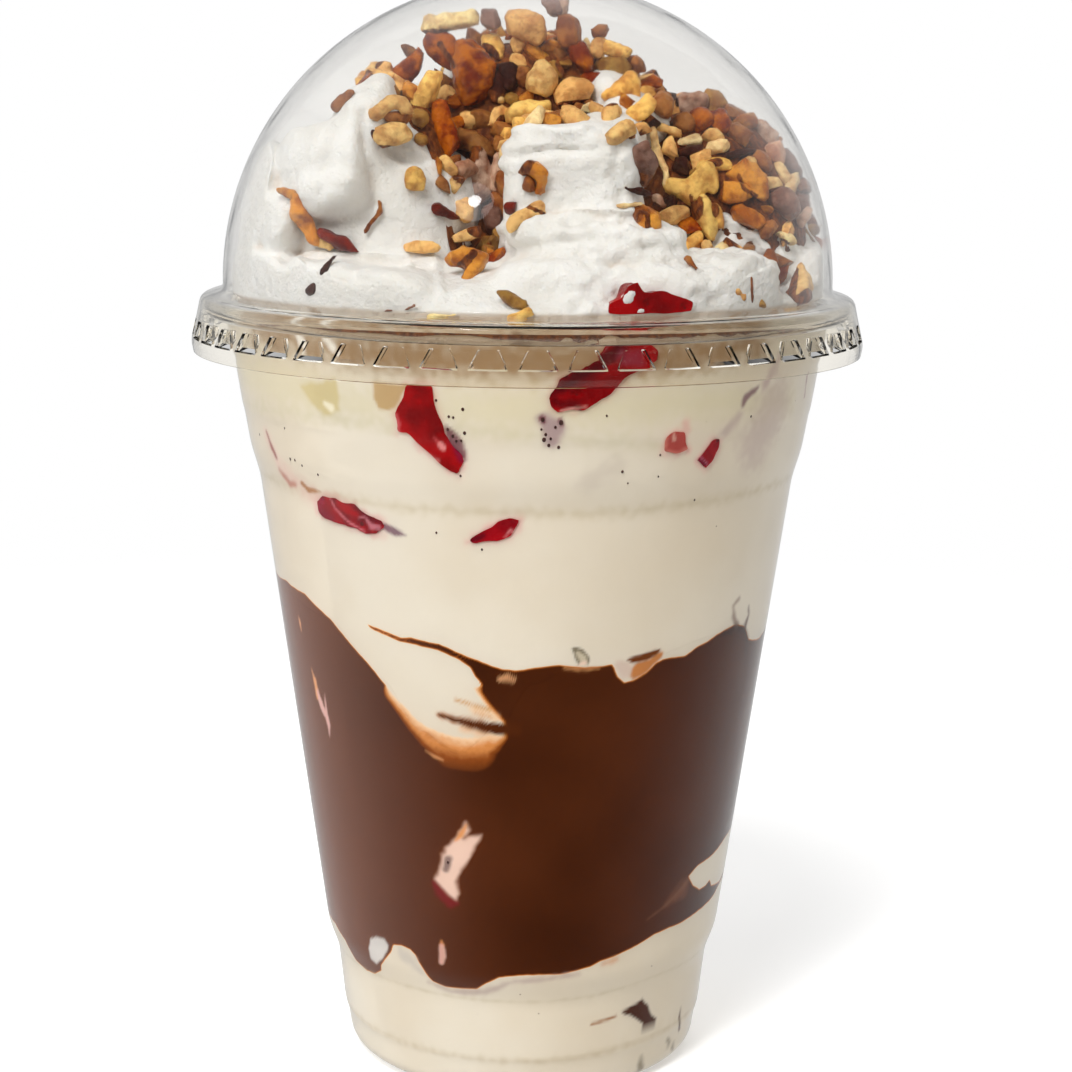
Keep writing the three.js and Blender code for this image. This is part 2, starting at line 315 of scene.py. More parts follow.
def keep_colour(mesh, name, values):
    """Stores a colour and a cover for each vertex."""
    layer = mesh.attributes.new(name, "FLOAT_COLOR", "POINT")
    layer.data.foreach_set("color", np.asarray(values, np.float32).ravel())


def piece(name, bm, finish, slot, *nodes, sharp=50):
    """Turns a bmesh in millimetres into a finished object that stands for CAD nodes."""
    bmesh.ops.scale(bm, vec=(MM, MM, MM), verts=bm.verts[:])
    mesh = bpy.data.meshes.new(name)
    bm.to_mesh(mesh)
    bm.free()
    mesh.shade_smooth()
    mesh.set_sharp_from_angle(angle=math.radians(sharp))
    made = bpy.data.objects.new(name, mesh)
    bpy.context.collection.objects.link(made)
    mesh.materials.append(finish.material)
    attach(made, "root")
    if nodes:
        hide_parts(*nodes)
    print(name, "has", sum(len(face.vertices) - 2 for face in mesh.polygons), "triangles")
    return made


def remeshed(bm, voxel):
    """Fuses overlapping shapes into one skin of even squares."""
    mesh = bpy.data.meshes.new("rough")
    bm.to_mesh(mesh)
    bm.free()
    rough = bpy.data.objects.new("rough", mesh)
    bpy.context.collection.objects.link(rough)
    fuse = rough.modifiers.new("fuse", "REMESH")
    fuse.mode = "VOXEL"
    fuse.voxel_size = voxel
    graph = bpy.context.evaluated_depsgraph_get()
    fused = bmesh.new()
    fused.from_object(rough, graph)
    bpy.data.objects.remove(rough)
    bpy.data.meshes.remove(mesh)
    return fused


def soften(bm, times, factor=0.5):
    """Draws each vertex towards its neighbours, several times over."""
    for _ in range(times):
        bmesh.ops.smooth_vert(
            bm, verts=bm.verts[:], factor=factor, use_axis_x=True, use_axis_y=True, use_axis_z=True
        )


print("shape helpers ready")

# %% [markdown]
# ## Clear plastic
# The cup and lid are pressed from clear PET sheet. A real sheet has two faces, and each
# bends the light, so both pieces are made with a true wall and a glass-like shader. Their
# shadows are switched off, because lamps would otherwise have to find their way through
# the walls, which makes a grainy picture. A faint unevenness in the surface breaks up the
# reflections as the real pressed wall does.

# %% Clear plastic
def clear_sheet(name, tint):
    """A glass-like finish with a faint unevenness. tint makes its colour."""
    sheet = Finish(name, IOR=1.5, Transmission_Weight=1.0)
    sheet.roughness(sheet.step(sheet.grain(9, 4), 0.35, 0.8, 0.02, 0.05))
    sheet.relief(sheet.grain(7, 1), 0.05)
    sheet.colour(tint(sheet))
    return sheet


plastic = clear_sheet("cup_plastic", lambda sheet: paint(253, 253, 252))
print("clear plastic ready")

# %% [markdown]
# ## The cup
# The cup is a tapered wall with a step near the top, where stacked cups rest in each
# other, a second one near the foot, a rolled rim and a ring to stand on. Spinning one
# outline gives all of it with an even wall. It could also be a stack of rings joined by
# bridges, but the outline keeps the numbers together.

# %% Cup
CUP_WALL = 0.6
CUP_TURNS = 288
CUP_OUTLINE = [
    (0, 3.0),
    (20.6, 3.0),
    (22.6, 0.0),
    (25.2, 0.0),
    (27.4, 1.4),
    (28.0, 5.4),
    (28.45, 6.6),
    (29.5, 16.0),
    (31.07, 20.29),
    (40.96, 92.0),
    (42.29, 96.46),
    (43.2, 101.8),
    (43.45, 102.6),
    (44.75, 110.73),
    (45.95, 116.9),
]
RIM_RADIUS, RIM_HEIGHT, RIM_ROLL = 47.4, 117.4, 1.5

cup_side = rounded(CUP_OUTLINE, 1.3)
rim = arc(RIM_RADIUS, RIM_HEIGHT, RIM_ROLL, 185, 520, 22)
cup_bm = spun(cup_side + rim + sideways(cup_side, CUP_WALL)[::-1], CUP_TURNS)
cup = piece("clear_cup", cup_bm, plastic, "clear_plastic", "cup", sharp=60)
cup.visible_shadow = False

WALL_HEIGHTS = np.array([z for r, z in cup_side if z > 3])
WALL_RADII = np.array([r for r, z in cup_side if z > 3])


def wall_radius(height):
    """Radius of the cup's outer face at each height."""
    return np.interp(height, WALL_HEIGHTS, WALL_RADII)


# %% [markdown]
# ## The dome lid
# The lid is one sheet too: a dome, a shoulder that sits on the rim, and a skirt with 48
# small pockets pressed inwards, which snap under the rim. The pockets are wider below
# than above. Cutting them out one by one would give a rough mesh, so the spin gets ten
# columns for each pocket, and the columns slide sideways to follow its slanted edges.

# %% Dome lid
LID_WALL = 0.5
LUGS = 48
FIRST_LUG = 1.9  # degrees from the front
LUG_COLUMNS = 10
DOME_RADIUS, DOME_FOOT, DOME_RISE = 46.14, 120.66, 45.19
LUG_TOP, LUG_BOTTOM = 115.5, 113.25
LUG_TOP_HALF, LUG_BOTTOM_HALF = 1.25, 2.4
LUG_DEPTH = 0.85
SKIRT_RADIUS = 50.5  # where the widths of the pockets are measured
SKIRT_FROM, SKIRT_TOP = 46.9, 117.2  # the skirt lies outside this radius and below this height

dome_top = [
    (r * DOME_RADIUS, DOME_FOOT + z * DOME_RISE) for r, z in arc(0, 0, 1, 90, 0, 44)
]
shoulder = [
    dome_top[-1], (46.3, 119.9), (49.5, 118.9), (50.0, 116.5), (51.0, 112.3), (50.7, 110.73)
]
shoulder = rounded(shoulder, 0.9, 5)
skirt_rows = [116.0, 115.75, 115.5, 114.4, 113.25, 112.95]


def with_rows(outline, rows):
    """Adds points to the steep lower part of an outline at given heights."""
    made = [outline[0]]
    for (r0, z0), (r1, z1) in zip(outline, outline[1:]):
        for z in rows:
            if z1 < z < z0:
                made.append((r0 + (r1 - r0) * (z0 - z) / (z0 - z1), z))
        made.append((r1, z1))
    return made


lid_outside = [(0.0, dome_top[0][1])] + dome_top[1:-1] + with_rows(shoulder, skirt_rows)
lid_inside = sideways(lid_outside, -LID_WALL)
lid_bm = spun(lid_outside + lid_inside[::-1], LUGS * LUG_COLUMNS)
lid_points = places(lid_bm)
radius = np.hypot(lid_points[:, 0], lid_points[:, 1])
height = lid_points[:, 2]
pitch = 360 / LUGS
turn = turn_of(lid_points)
lug = np.round(turn / pitch)
column = np.round((turn - lug * pitch) / (pitch / LUG_COLUMNS))
half = np.interp(height, [LUG_BOTTOM, LUG_TOP], [LUG_BOTTOM_HALF, LUG_TOP_HALF])
half_way = math.radians(pitch) * SKIRT_RADIUS / 2
column_places = [  # how far each column lies from the middle of its pocket
    0 * half,
    half * 0.55,
    half - 0.1,
    half + 0.22,
    (half + half_way) / 2,
    half_way + 0 * half,
]
columns_away = np.minimum(np.abs(column), LUG_COLUMNS // 2).astype(int)
slid = np.choose(columns_away, column_places) * np.sign(column)
skirt = (radius > SKIRT_FROM) & (height < SKIRT_TOP)
in_lug = skirt & (columns_away <= 2) & (height < LUG_TOP + 0.1) & (height > LUG_BOTTOM - 0.1)
turn = np.where(skirt, lug * pitch + np.degrees(slid / SKIRT_RADIUS), turn) + FIRST_LUG
radius = radius - np.where(in_lug, LUG_DEPTH, 0)
angle = np.radians(turn)
move_to(lid_bm, np.stack([radius * np.sin(angle), -radius * np.cos(angle), height], 1))


def lid_shade_tint(sheet):
    """Painted shade: the skirt, doubled over the cup's wall, is tinted darker and warmer than the
    dome.
    """
    return sheet.blend(sheet.stored("skirt"), paint(253, 252, 250), paint(249, 245, 236))


lid_plastic = clear_sheet("lid_plastic", lid_shade_tint)
lid = piece("clear_dome_lid", lid_bm, lid_plastic, "clear_plastic", "dome_lid", sharp=35)
# the skirt's painted shade covers the plastic below the shoulder
keep(lid.data, "skirt", np.interp(height, [118.6, 119.6], [1, 0]))
lid.visible_shadow = False

# %% [markdown]
# ## What shows through the wall
# Cream, chocolate and more cream press flat against the cup, so their whole drawing lies
# on its wall. A place on the wall is a turn in degrees from the front and a height. The
# chocolate's edge, with its long thin tail, is a closed line of such places. Each vertex
# stores how deep it lies inside, and the material cuts at depth zero, so the edge stays
# sharp on a modest mesh. Smears, stains and streaks are marks: a colour, a strength, how
# soft the edge is, and a closed shape or a brush stroke. They are laid over each other
# like glazes.

# %% Edge of the chocolate
CHOCOLATE_EDGE = [  # turn, height
    (-200, 70), (-165, 71.5), (-130, 75.5), (-100, 77.6), (-86, 77.3), (-73.3, 76.9), (-67, 77.2),
    (-63.7, 76.9), (-56.6, 76.5), (-53.1, 75.5), (-47.2, 73.8), (-41.6, 70.9), (-38.4, 69.2),
    (-35.3, 67.5), (-33.1, 66.0), (-30.6, 64.3), (-28.4, 63.1), (-26.3, 61.9), (-24.2, 60.7),
    (-22.1, 60.0), (-20.0, 59.5), (-17.2, 59.1), (-13.8, 58.9), (-10.4, 59.1), (-7.4, 59.3),
    (-4.9, 59.6), (-5.0, 61.2), (-6.6, 62.0), (-8.2, 63.4), (-9.8, 64.9), (-11.3, 66.4),
    (-9.1, 66.9), (-10.5, 68.0), (-11.6, 69.3), (-13.8, 70.3), (-16.4, 71.0), (-18.6, 71.6),
    (-21.7, 71.8), (-25.1, 72.1), (-27.6, 72.2), (-31.2, 72.9), (-33.9, 73.3), (-35.6, 73.8),
    (-35.9, 74.3), (-33.0, 73.9), (-30.0, 73.5), (-27.1, 73.0), (-24.8, 73.2), (-22.2, 73.0),
    (-20.2, 72.8), (-18.1, 72.7), (-15.3, 72.0), (-12.5, 71.2), (-9.9, 70.7), (-6.8, 69.9),
    (-4.6, 69.5), (-1.5, 69.3), (0.7, 69.5), (4.1, 69.9), (7.6, 70.1), (11.1, 69.8), (13.4, 69.6),
    (16.6, 69.6), (19.5, 69.8), (20.2, 69.2), (21.1, 67.8), (22.7, 66.9), (24.6, 67.1),
    (27.7, 68.0), (30.0, 69.3), (31.9, 69.8), (34.3, 69.8), (38.1, 69.7), (41.0, 70.7),
    (44.8, 71.3), (47.6, 72.0), (50.1, 72.3), (53.5, 72.7), (55.9, 72.5), (58.8, 71.9),
    (60.7, 70.8), (62.6, 69.4), (65.8, 68.8), (70.6, 68.3), (80, 69.0), (100, 71.0), (130, 69.0),
    (165, 71.5), (200, 70), (200, 21), (160, 22), (120, 25.2), (95, 28.2), (80, 28.4), (72.0, 27.6),
    (68.2, 26.8), (62.7, 26.4), (58.1, 26.2), (54.3, 25.9), (48.8, 25.5), (44.5, 25.6),
    (38.9, 25.2), (34.1, 24.3), (28, 23.3), (22.1, 22.6), (19.2, 21.9), (14.9, 21.5), (10.7, 21.1),
    (5, 21.2), (-0.6, 21.1), (-5.8, 20.7), (-9.4, 19.6), (-12.5, 18.3), (-18.1, 18.1),
    (-22.0, 18.0), (-25.9, 18.6), (-27.8, 19.9), (-29.5, 21.4), (-30.5, 22.6), (-32.1, 23.3),
    (-35.1, 23.6), (-37.6, 23.3), (-38.9, 21.9), (-41.5, 20.4), (-44.1, 18.9), (-44.9, 17.9),
    (-49.0, 16.6), (-53.1, 16.4), (-59.2, 17.1), (-62.6, 20.0), (-68.8, 21.4), (-80, 21.6),
    (-95, 21.8), (-130, 23.4), (-165, 21.4), (-200, 21),
]
# A tongue of cream that cuts into the chocolate from the right
CREAM_NOTCH = [
    (106, 32.8), (97, 34.4), (88, 35.2), (79, 36.2), (72.1, 36.1), (67.6, 35.6), (64.0, 35.0),
    (59.5, 34.6), (54.0, 34.4), (50.3, 33.2), (53.2, 31.4), (56.8, 30.2), (60.3, 30.2),
    (62.8, 30.8), (64.8, 29.4), (69.3, 28.9), (72.8, 28.6), (80, 29.8), (88, 30.4), (96, 31.8),
]
# Where the chocolate thins out: strokes of (turn, height, half width in millimetres)
THIN_CHOCOLATE = [
    [
        (-31.4, 63.9, 0.1), (-28.6, 61.9, 0.4), (-25.8, 59.7, 0.8), (-22.3, 57.7, 1.6),
        (-16.7, 55.6, 3.2), (-11.2, 55.6, 3.4), (-7.4, 57.2, 1.2), (-5.2, 59.2, 0.3),
        (-5.4, 61.0, 0.1), (-6.6, 62.2, 0.0),
    ],
    [(-10.6, 65.6, 0.0), (-8.6, 63.6, 0.1), (-6.3, 61.9, 0.1)],
]
print(len(CHOCOLATE_EDGE), "places draw the edge of the chocolate")

# %% [markdown]
# ## Marks in the cream
# Fruit has bled into the cream. A tan band under the rim is partly cream that shows tan
# through small gaps at the wall and partly painted shade under the lid, a wide soft band of
# painted shade darkens the cream below it, and soft lines of painted shade follow the steps
# of the cup. A mark whose places have two numbers is a closed shape, and one whose places
# have three is a brush stroke with a half width.

# %% Marks in the cream
CREAM_MARKS = [  # screen colour, strength, softness in millimetres, shape or stroke
    # partly painted shade: a tan band under the rim, where the lid shades the cream, and where
    # cream shows tan through gaps at the wall
    ((158, 122, 78), 0.85, 4.5, [
        (-58, 115.5, 1.2), (-40, 114.5, 1.6), (-20, 114, 2.2), (0, 114, 2.4), (25, 114, 2.2),
        (45, 115, 1.4)]),
    ((252, 250, 246), 0.95, 1.0, [(-44.0, 116.0, 0.5), (-43.2, 114.6, 0.7)]),
    ((252, 250, 246), 0.95, 1.0, [(-37.0, 115.6, 0.6), (-35.6, 114.4, 0.6)]),
    # painted shade: a wide soft band that darkens the cream towards the top, under the lid
    ((214, 205, 170), 0.5, 5, [
        (-75, 109, 3), (-50, 108, 3), (-30, 107, 2), (0, 107, 2.5), (30, 107.5, 2.5),
        (60, 106, 2)]),
    # painted shade: a soft line along the ring bend of the cup's wall
    ((204, 196, 166), 0.5, 3.2, [
        (-80, 103.4, 0.3), (-56, 103.8, 0.5), (-38, 104.3, 0.6), (-11, 103.9, 0.6), (2, 103.4, 0.6),
        (18, 102.2, 0.5), (28, 101.3, 0.2)]),
    # painted shade: a soft line along the upper step of the cup's wall
    ((196, 182, 152), 0.65, 2.4, [
        (-180, 93.6, 0.1), (-39, 92.6, 0.3), (-23, 92.3, 0.3), (0, 92.3, 0.3), (15, 92.1, 0.3),
        (36, 92.6, 0.3), (54, 92.9, 0.2), (180, 93.4, 0.1)]),
    ((182, 156, 154), 0.4, 5, [(54.5, 105.5, 4.0), (49.5, 99.8, 3.0)]),
    ((192, 180, 168), 0.35, 2.5, [(11.8, 96.9, 1.3), (17.1, 98.9, 1.1)]),
    ((226, 192, 180), 0.55, 2.6, [
        (-62, 99.5, 0.8), (-58, 95.4, 1.0), (-50, 92.6, 1.2), (-42, 90.6, 1.5), (-30, 89.2, 1.2)]),
    ((206, 190, 140), 0.85, 0.9, [
        (-46.1, 108.4), (-36.0, 110), (-35.9, 107.5), (-36.3, 105.6), (-39.4, 104.5),
        (-41.2, 105.2), (-43.9, 106.6)]),
    ((243, 236, 214), 0.9, 0.7, [(-39.5, 106.3, 0.3), (-38.1, 105.8, 0.6)]),
    ((190, 158, 108), 0.9, 0.6, [
        (-28.0, 110), (-21.1, 110), (-23.7, 106.8), (-25.3, 106.1), (-27.2, 106.4),
        (-28.2, 107.7)]),
    ((104, 34, 58), 0.85, 0.7, [
        (-14.2, 104.3, 0.3), (-13.0, 102.7, 0.9), (-11.9, 100.9, 0.8), (-11.0, 99.8, 0.2)]),
    ((112, 70, 92), 0.85, 0.6, [(-28.9, 89.2, 0.5), (-26.8, 88.6, 0.6), (-24.2, 88.3, 0.1)]),
    ((168, 112, 58), 0.9, 0.5, [(-50.9, 93.7, 0.35), (-49.1, 92.9, 0.4), (-45.3, 93.0, 0.2)]),
    ((150, 66, 58), 0.85, 0.7, [(-61.9, 100.3, 0.15), (-60.4, 98.0, 0.45), (-58.9, 96.7, 0.2)]),
    ((188, 126, 108), 0.85, 0.9, [(-59.2, 94.8, 0.3), (-55.8, 93.2, 0.55), (-53.5, 93.2, 0.4)]),
    ((166, 138, 142), 0.8, 1.5, [(3.7, 105.6, 1.1), (5.1, 104.2, 1.5), (4.8, 102.9, 1.1)]),
    ((112, 50, 66), 0.9, 0.5, [(3.0, 105.8, 0.45), (3.3, 105.4, 0.3)]),
    ((120, 60, 76), 0.8, 0.5, [(6.3, 105.6, 0.35), (6.6, 105.0, 0.3)]),
    ((218, 164, 154), 0.6, 1.2, [(30.5, 104.6, 0.6), (31.0, 103.5, 0.4)]),
    ((122, 84, 94), 0.85, 0.7, [(47.5, 108.6, 0.3), (44.5, 107.4, 0.55), (43.9, 106.2, 0.3)]),
    ((184, 162, 158), 0.6, 1.4, [(39.3, 102.5, 0.5), (41.5, 103.5, 0.7), (43.7, 105.0, 0.6)]),
    ((180, 150, 150), 0.55, 1.6, [(52.5, 112.6, 0.5), (50.9, 110.5, 0.8), (49.4, 108.2, 0.5)]),
    ((140, 72, 88), 0.8, 0.5, [(67.6, 109.2, 0.25), (68.8, 105.7, 0.2)]),
    ((206, 150, 150), 0.7, 1.6, [(110, 104, 1.2), (118, 100, 0.9), (121, 97, 0.3)]),
    ((196, 128, 124), 0.75, 1.2, [(-130, 98, 0.6), (-121, 103, 1.0), (-117, 105, 0.4)]),
    ((186, 120, 126), 0.7, 1.4, [(165, 92, 0.5), (175, 94, 1.0), (182, 93, 0.4)]),
]
print(len(CREAM_MARKS), "marks lie in the cream")

# %% [markdown]
# ## Marks in the chocolate
# Smears of cream and fruit, pale streaks, bubbles and drips lie on the chocolate and at
# its edges, and two faint lines of painted shade follow the bends near the cup's foot. A
# dark streak over pale cream would look grey where it thins out, so it lies on two wider
# ones in caramel.

# %% Marks in the chocolate
STREAK = [
    (-19.1, 61.8, 0.1), (-16.2, 61.4, 0.3), (-12.0, 60.9, 0.5), (-8.4, 60.5, 0.7),
    (-4.9, 60.3, 0.9), (-1.5, 60.2, 0.9),
]
SMEAR = [
    (-13.8, 45.4), (-12.9, 44.2), (-14.6, 42.8), (-12.3, 43.3), (-9.9, 43.7), (-10.4, 43.0),
    (-12.1, 41.3), (-13.6, 39.4), (-15.6, 37.6), (-16.9, 35.9), (-16.6, 33.9), (-17.1, 32.8),
    (-19.0, 33.3), (-20.6, 34.4), (-22.6, 35.8), (-21.1, 37.6), (-20.0, 39.9), (-18.0, 41.8),
    (-15.7, 43.3),
]
CHOCOLATE_MARKS = [
    ((240, 204, 162), 0.8, 1.4, [(-11.5, 63.3, 0.3), (-8.6, 62.7, 0.5), (-6.3, 61.9, 0.4)]),
    ((198, 142, 74), 0.8, 0.6, [
        (-15.1, 64.4, 0.1), (-12.5, 64.0, 0.22), (-9.9, 63.6, 0.24), (-7.4, 63.2, 0.2)]),
    ((206, 136, 66), 0.6, 0.8, [(-10.5, 62.6, 0.1), (-7.4, 62.0, 0.25)]),
    ((236, 196, 154), 0.7, 1.6, [(-14.0, 60.0, 0.2), (-9.0, 59.4, 0.5), (-6.5, 59.2, 0.4)]),
    ((206, 136, 72), 0.9, 1.5, STREAK[:4]), ((146, 80, 32), 0.95, 1.0, STREAK[:4]),
    ((84, 38, 10), 1.0, 0.5, STREAK),
    ((220, 156, 100), 0.8, 0.5, [(-22.9, 56.0, 0.1), (-21.1, 55.4, 0.2), (-18.8, 54.9, 0.1)]),
    ((236, 178, 122), 0.5, 0.9, [(-19.0, 58.3, 0.1), (-16.4, 57.3, 0.25), (-13.0, 56.9, 0.1)]),
    ((150, 84, 34), 0.35, 0.9, [(-22.0, 58.6, 0.1), (-19.0, 57.4, 0.2), (-15.6, 56.3, 0.1)]),
    ((216, 160, 112), 0.95, 0.5, [(-5.0, 67.9, 0.35), (-3.5, 68.1, 0.5), (-2.0, 67.8, 0.3)]),
    ((104, 94, 72), 0.9, 0.4, [
        (10.3, 72.5), (11.3, 72.6), (12.9, 72.1), (14.1, 71.3), (14.5, 70.6), (14.0, 69.8),
        (11.8, 69.9), (11.0, 71.1)]),
    ((202, 190, 166), 0.95, 0.5, [(11.6, 71.7, 0.3), (12.8, 70.9, 0.55), (13.0, 70.4, 0.5)]),
    ((236, 210, 192), 0.95, 0.4, [(12.2, 70.1, 0.2), (13.4, 70.2, 0.3)]),
    ((204, 142, 90), 0.8, 0.7, [(9.0, 69.6, 0.2), (12.0, 69.3, 0.35), (16.4, 69.3, 0.1)]),
    ((216, 196, 182), 0.9, 0.8, [
        (20.1, 70.2), (21.8, 70.2), (23.4, 69.7), (24.4, 69.0), (23.9, 67.6), (22.3, 67.5),
        (21.3, 68.1), (20.4, 69.2)]),
    ((198, 126, 62), 0.95, 0.6, [
        (23.9, 67.7), (24.7, 69.2), (25.8, 69.7), (28.2, 70.0), (30.6, 70.8), (31.7, 70.8),
        (31.6, 70.0), (30.0, 69.2), (28.1, 68.1), (26.1, 67.3), (24.7, 67.0)]),
    ((112, 58, 22), 1.0, 0.4, [
        (22.7, 70.3), (25.2, 70.7), (28.2, 71.1), (30.8, 71.4), (31.2, 71.0), (29.2, 70.2),
        (27.5, 69.8), (24.1, 69.6)]),
    ((128, 98, 84), 0.75, 1.0, [
        (55.1, 72.3, 0.7), (53.2, 74.0, 0.4), (52.4, 75.7, 0.25), (54.3, 76.6, 0.15)]),
    ((104, 76, 68), 0.85, 0.8, [(59.4, 71.4, 0.5), (60.3, 73.4, 0.25), (59.6, 74.8, 0.1)]),
    ((50, 24, 18), 0.7, 1.0, [
        (50.0, 71.6, 0.3), (54.5, 72.0, 0.6), (59.0, 71.2, 0.6), (62.0, 69.4, 0.4),
        (62.6, 67.0, 0.2)]),
    ((232, 165, 118), 0.9, 0.5, [(-61.9, 72.2, 0.1), (-61.6, 71.3, 0.35), (-61.4, 70.1, 0.1)]),
    ((236, 170, 118), 0.95, 0.5, [(-58.6, 64.4, 0.1), (-57.7, 62.8, 0.45), (-57.2, 60.5, 0.6)]),
    ((230, 184, 174), 0.95, 0.5, [
        (-57.0, 61.2, 0.35), (-55.9, 59.0, 0.6), (-53.9, 57.6, 0.45), (-53.7, 56.4, 0.4),
        (-54.0, 54.7, 0.1)]),
    ((230, 184, 174), 0.9, 0.4, [(-53.8, 61.2, 0.1), (-53.9, 58.6, 0.25)]),
    ((176, 104, 58), 0.85, 1.3, SMEAR), ((236, 206, 188), 0.97, 1.0, SMEAR),
    ((230, 158, 92), 0.9, 0.6, [(-13.7, 45.0, 0.2), (-15.0, 43.4, 0.45), (-16.6, 42.4, 0.1)]),
    ((120, 96, 92), 0.85, 0.7, [(-18.5, 39.3, 0.6), (-19.5, 37.6, 0.5)]),
    ((126, 36, 36), 0.92, 0.9, [
        (-23.0, 35.2, 0.3), (-21.4, 33.7, 0.75), (-18.7, 32.3, 0.85), (-17.1, 32.4, 0.4)]),
    ((216, 140, 84), 0.9, 0.4, [(-21.9, 25.9, 0.15), (-21.8, 25.2, 0.4)]),
    ((222, 174, 158), 0.95, 0.45, [
        (-21.9, 25.0, 0.35), (-21.8, 24.3, 0.5), (-21.9, 23.3, 0.6), (-22.3, 22.3, 0.4)]),
    ((216, 211, 205), 0.97, 0.5, [
        (-47.1, 23.0), (-44.1, 23.8), (-41.1, 23.9), (-39.8, 23.0), (-40.6, 21.9), (-42.5, 20.5),
        (-46.5, 18.9), (-48.5, 19.4), (-48.3, 21.1)]),
    ((198, 190, 180), 0.7, 1.6, [(-35.0, 22.2, 0.8), (-31.5, 21.4, 0.8), (-29.0, 20.0, 0.3)]),
    ((186, 166, 158), 0.7, 1.0, [
        (-27.0, 18.4, 0.2), (-20.0, 17.4, 0.4), (-10.0, 18.0, 0.5), (-2.0, 20.2, 0.3),
        (6.0, 20.5, 0.4), (16.0, 21.0, 0.3)]),
    ((206, 150, 110), 0.6, 1.0, [(23.0, 22.2, 0.3), (27.0, 22.6, 0.4)]),
    ((124, 72, 44), 0.8, 1.8, [(43.0, 30.1, 0.5), (47.4, 31.2, 1.2), (48.9, 32.1, 0.9)]),
    ((128, 82, 56), 0.6, 0.6, [(36.0, 28.2, 0.1), (43.0, 30.0, 0.2), (50.0, 32.6, 0.2)]),
    ((148, 92, 44), 0.9, 0.4, [
        (21.6, 11.9, 0.2), (24.5, 12.1, 0.22), (27.6, 12.3, 0.25), (29.8, 12.6, 0.15)]),
    ((72, 32, 10), 1.0, 0.5, [
        (31.3, 13.1), (34.9, 13.6), (39.1, 14.2), (42.0, 12.7), (43.9, 10.9), (47.1, 9.7),
        (51.4, 9.2), (48.4, 8.8), (44.6, 8.9), (41.2, 9.6), (38.0, 10.9), (35.3, 12.0),
        (32.9, 12.5)]),
    ((150, 134, 100), 0.6, 0.5, [(50.8, 9.3, 0.2), (56.7, 9.1, 0.1)]),
    ((90, 60, 34), 1.0, 0.5, [(59.0, 9.1, 0.35), (62.7, 5.2, 0.35)]),
    ((126, 112, 90), 0.75, 0.8, [(54.5, 5.1, 0.3), (60.2, 2.4, 0.4)]),
    ((126, 112, 90), 0.75, 0.9, [(41.6, 3.6, 0.5), (42.7, 1.9, 0.7)]),
    # painted shade: two faint lines along the bends near the cup's foot
    ((184, 166, 132), 0.5, 1.6, [
        (-180, 7.4, 0.1), (-30, 6.6, 0.15), (12, 6.5, 0.2), (33, 7.1, 0.2), (180, 8.2, 0.1)]),
    ((190, 176, 144), 0.45, 1.0, [
        (-180, 17.6, 0.05), (0, 16.4, 0.1), (20, 16.7, 0.1), (41, 17.8, 0.1), (180, 18, 0.05)]),
]
print(len(CHOCOLATE_MARKS), "marks lie on the chocolate")

# %% [markdown]
# ## Marks on the fruit
# The slices of fruit have darker sides, pale veins and a few light spots where they touch
# the wall.

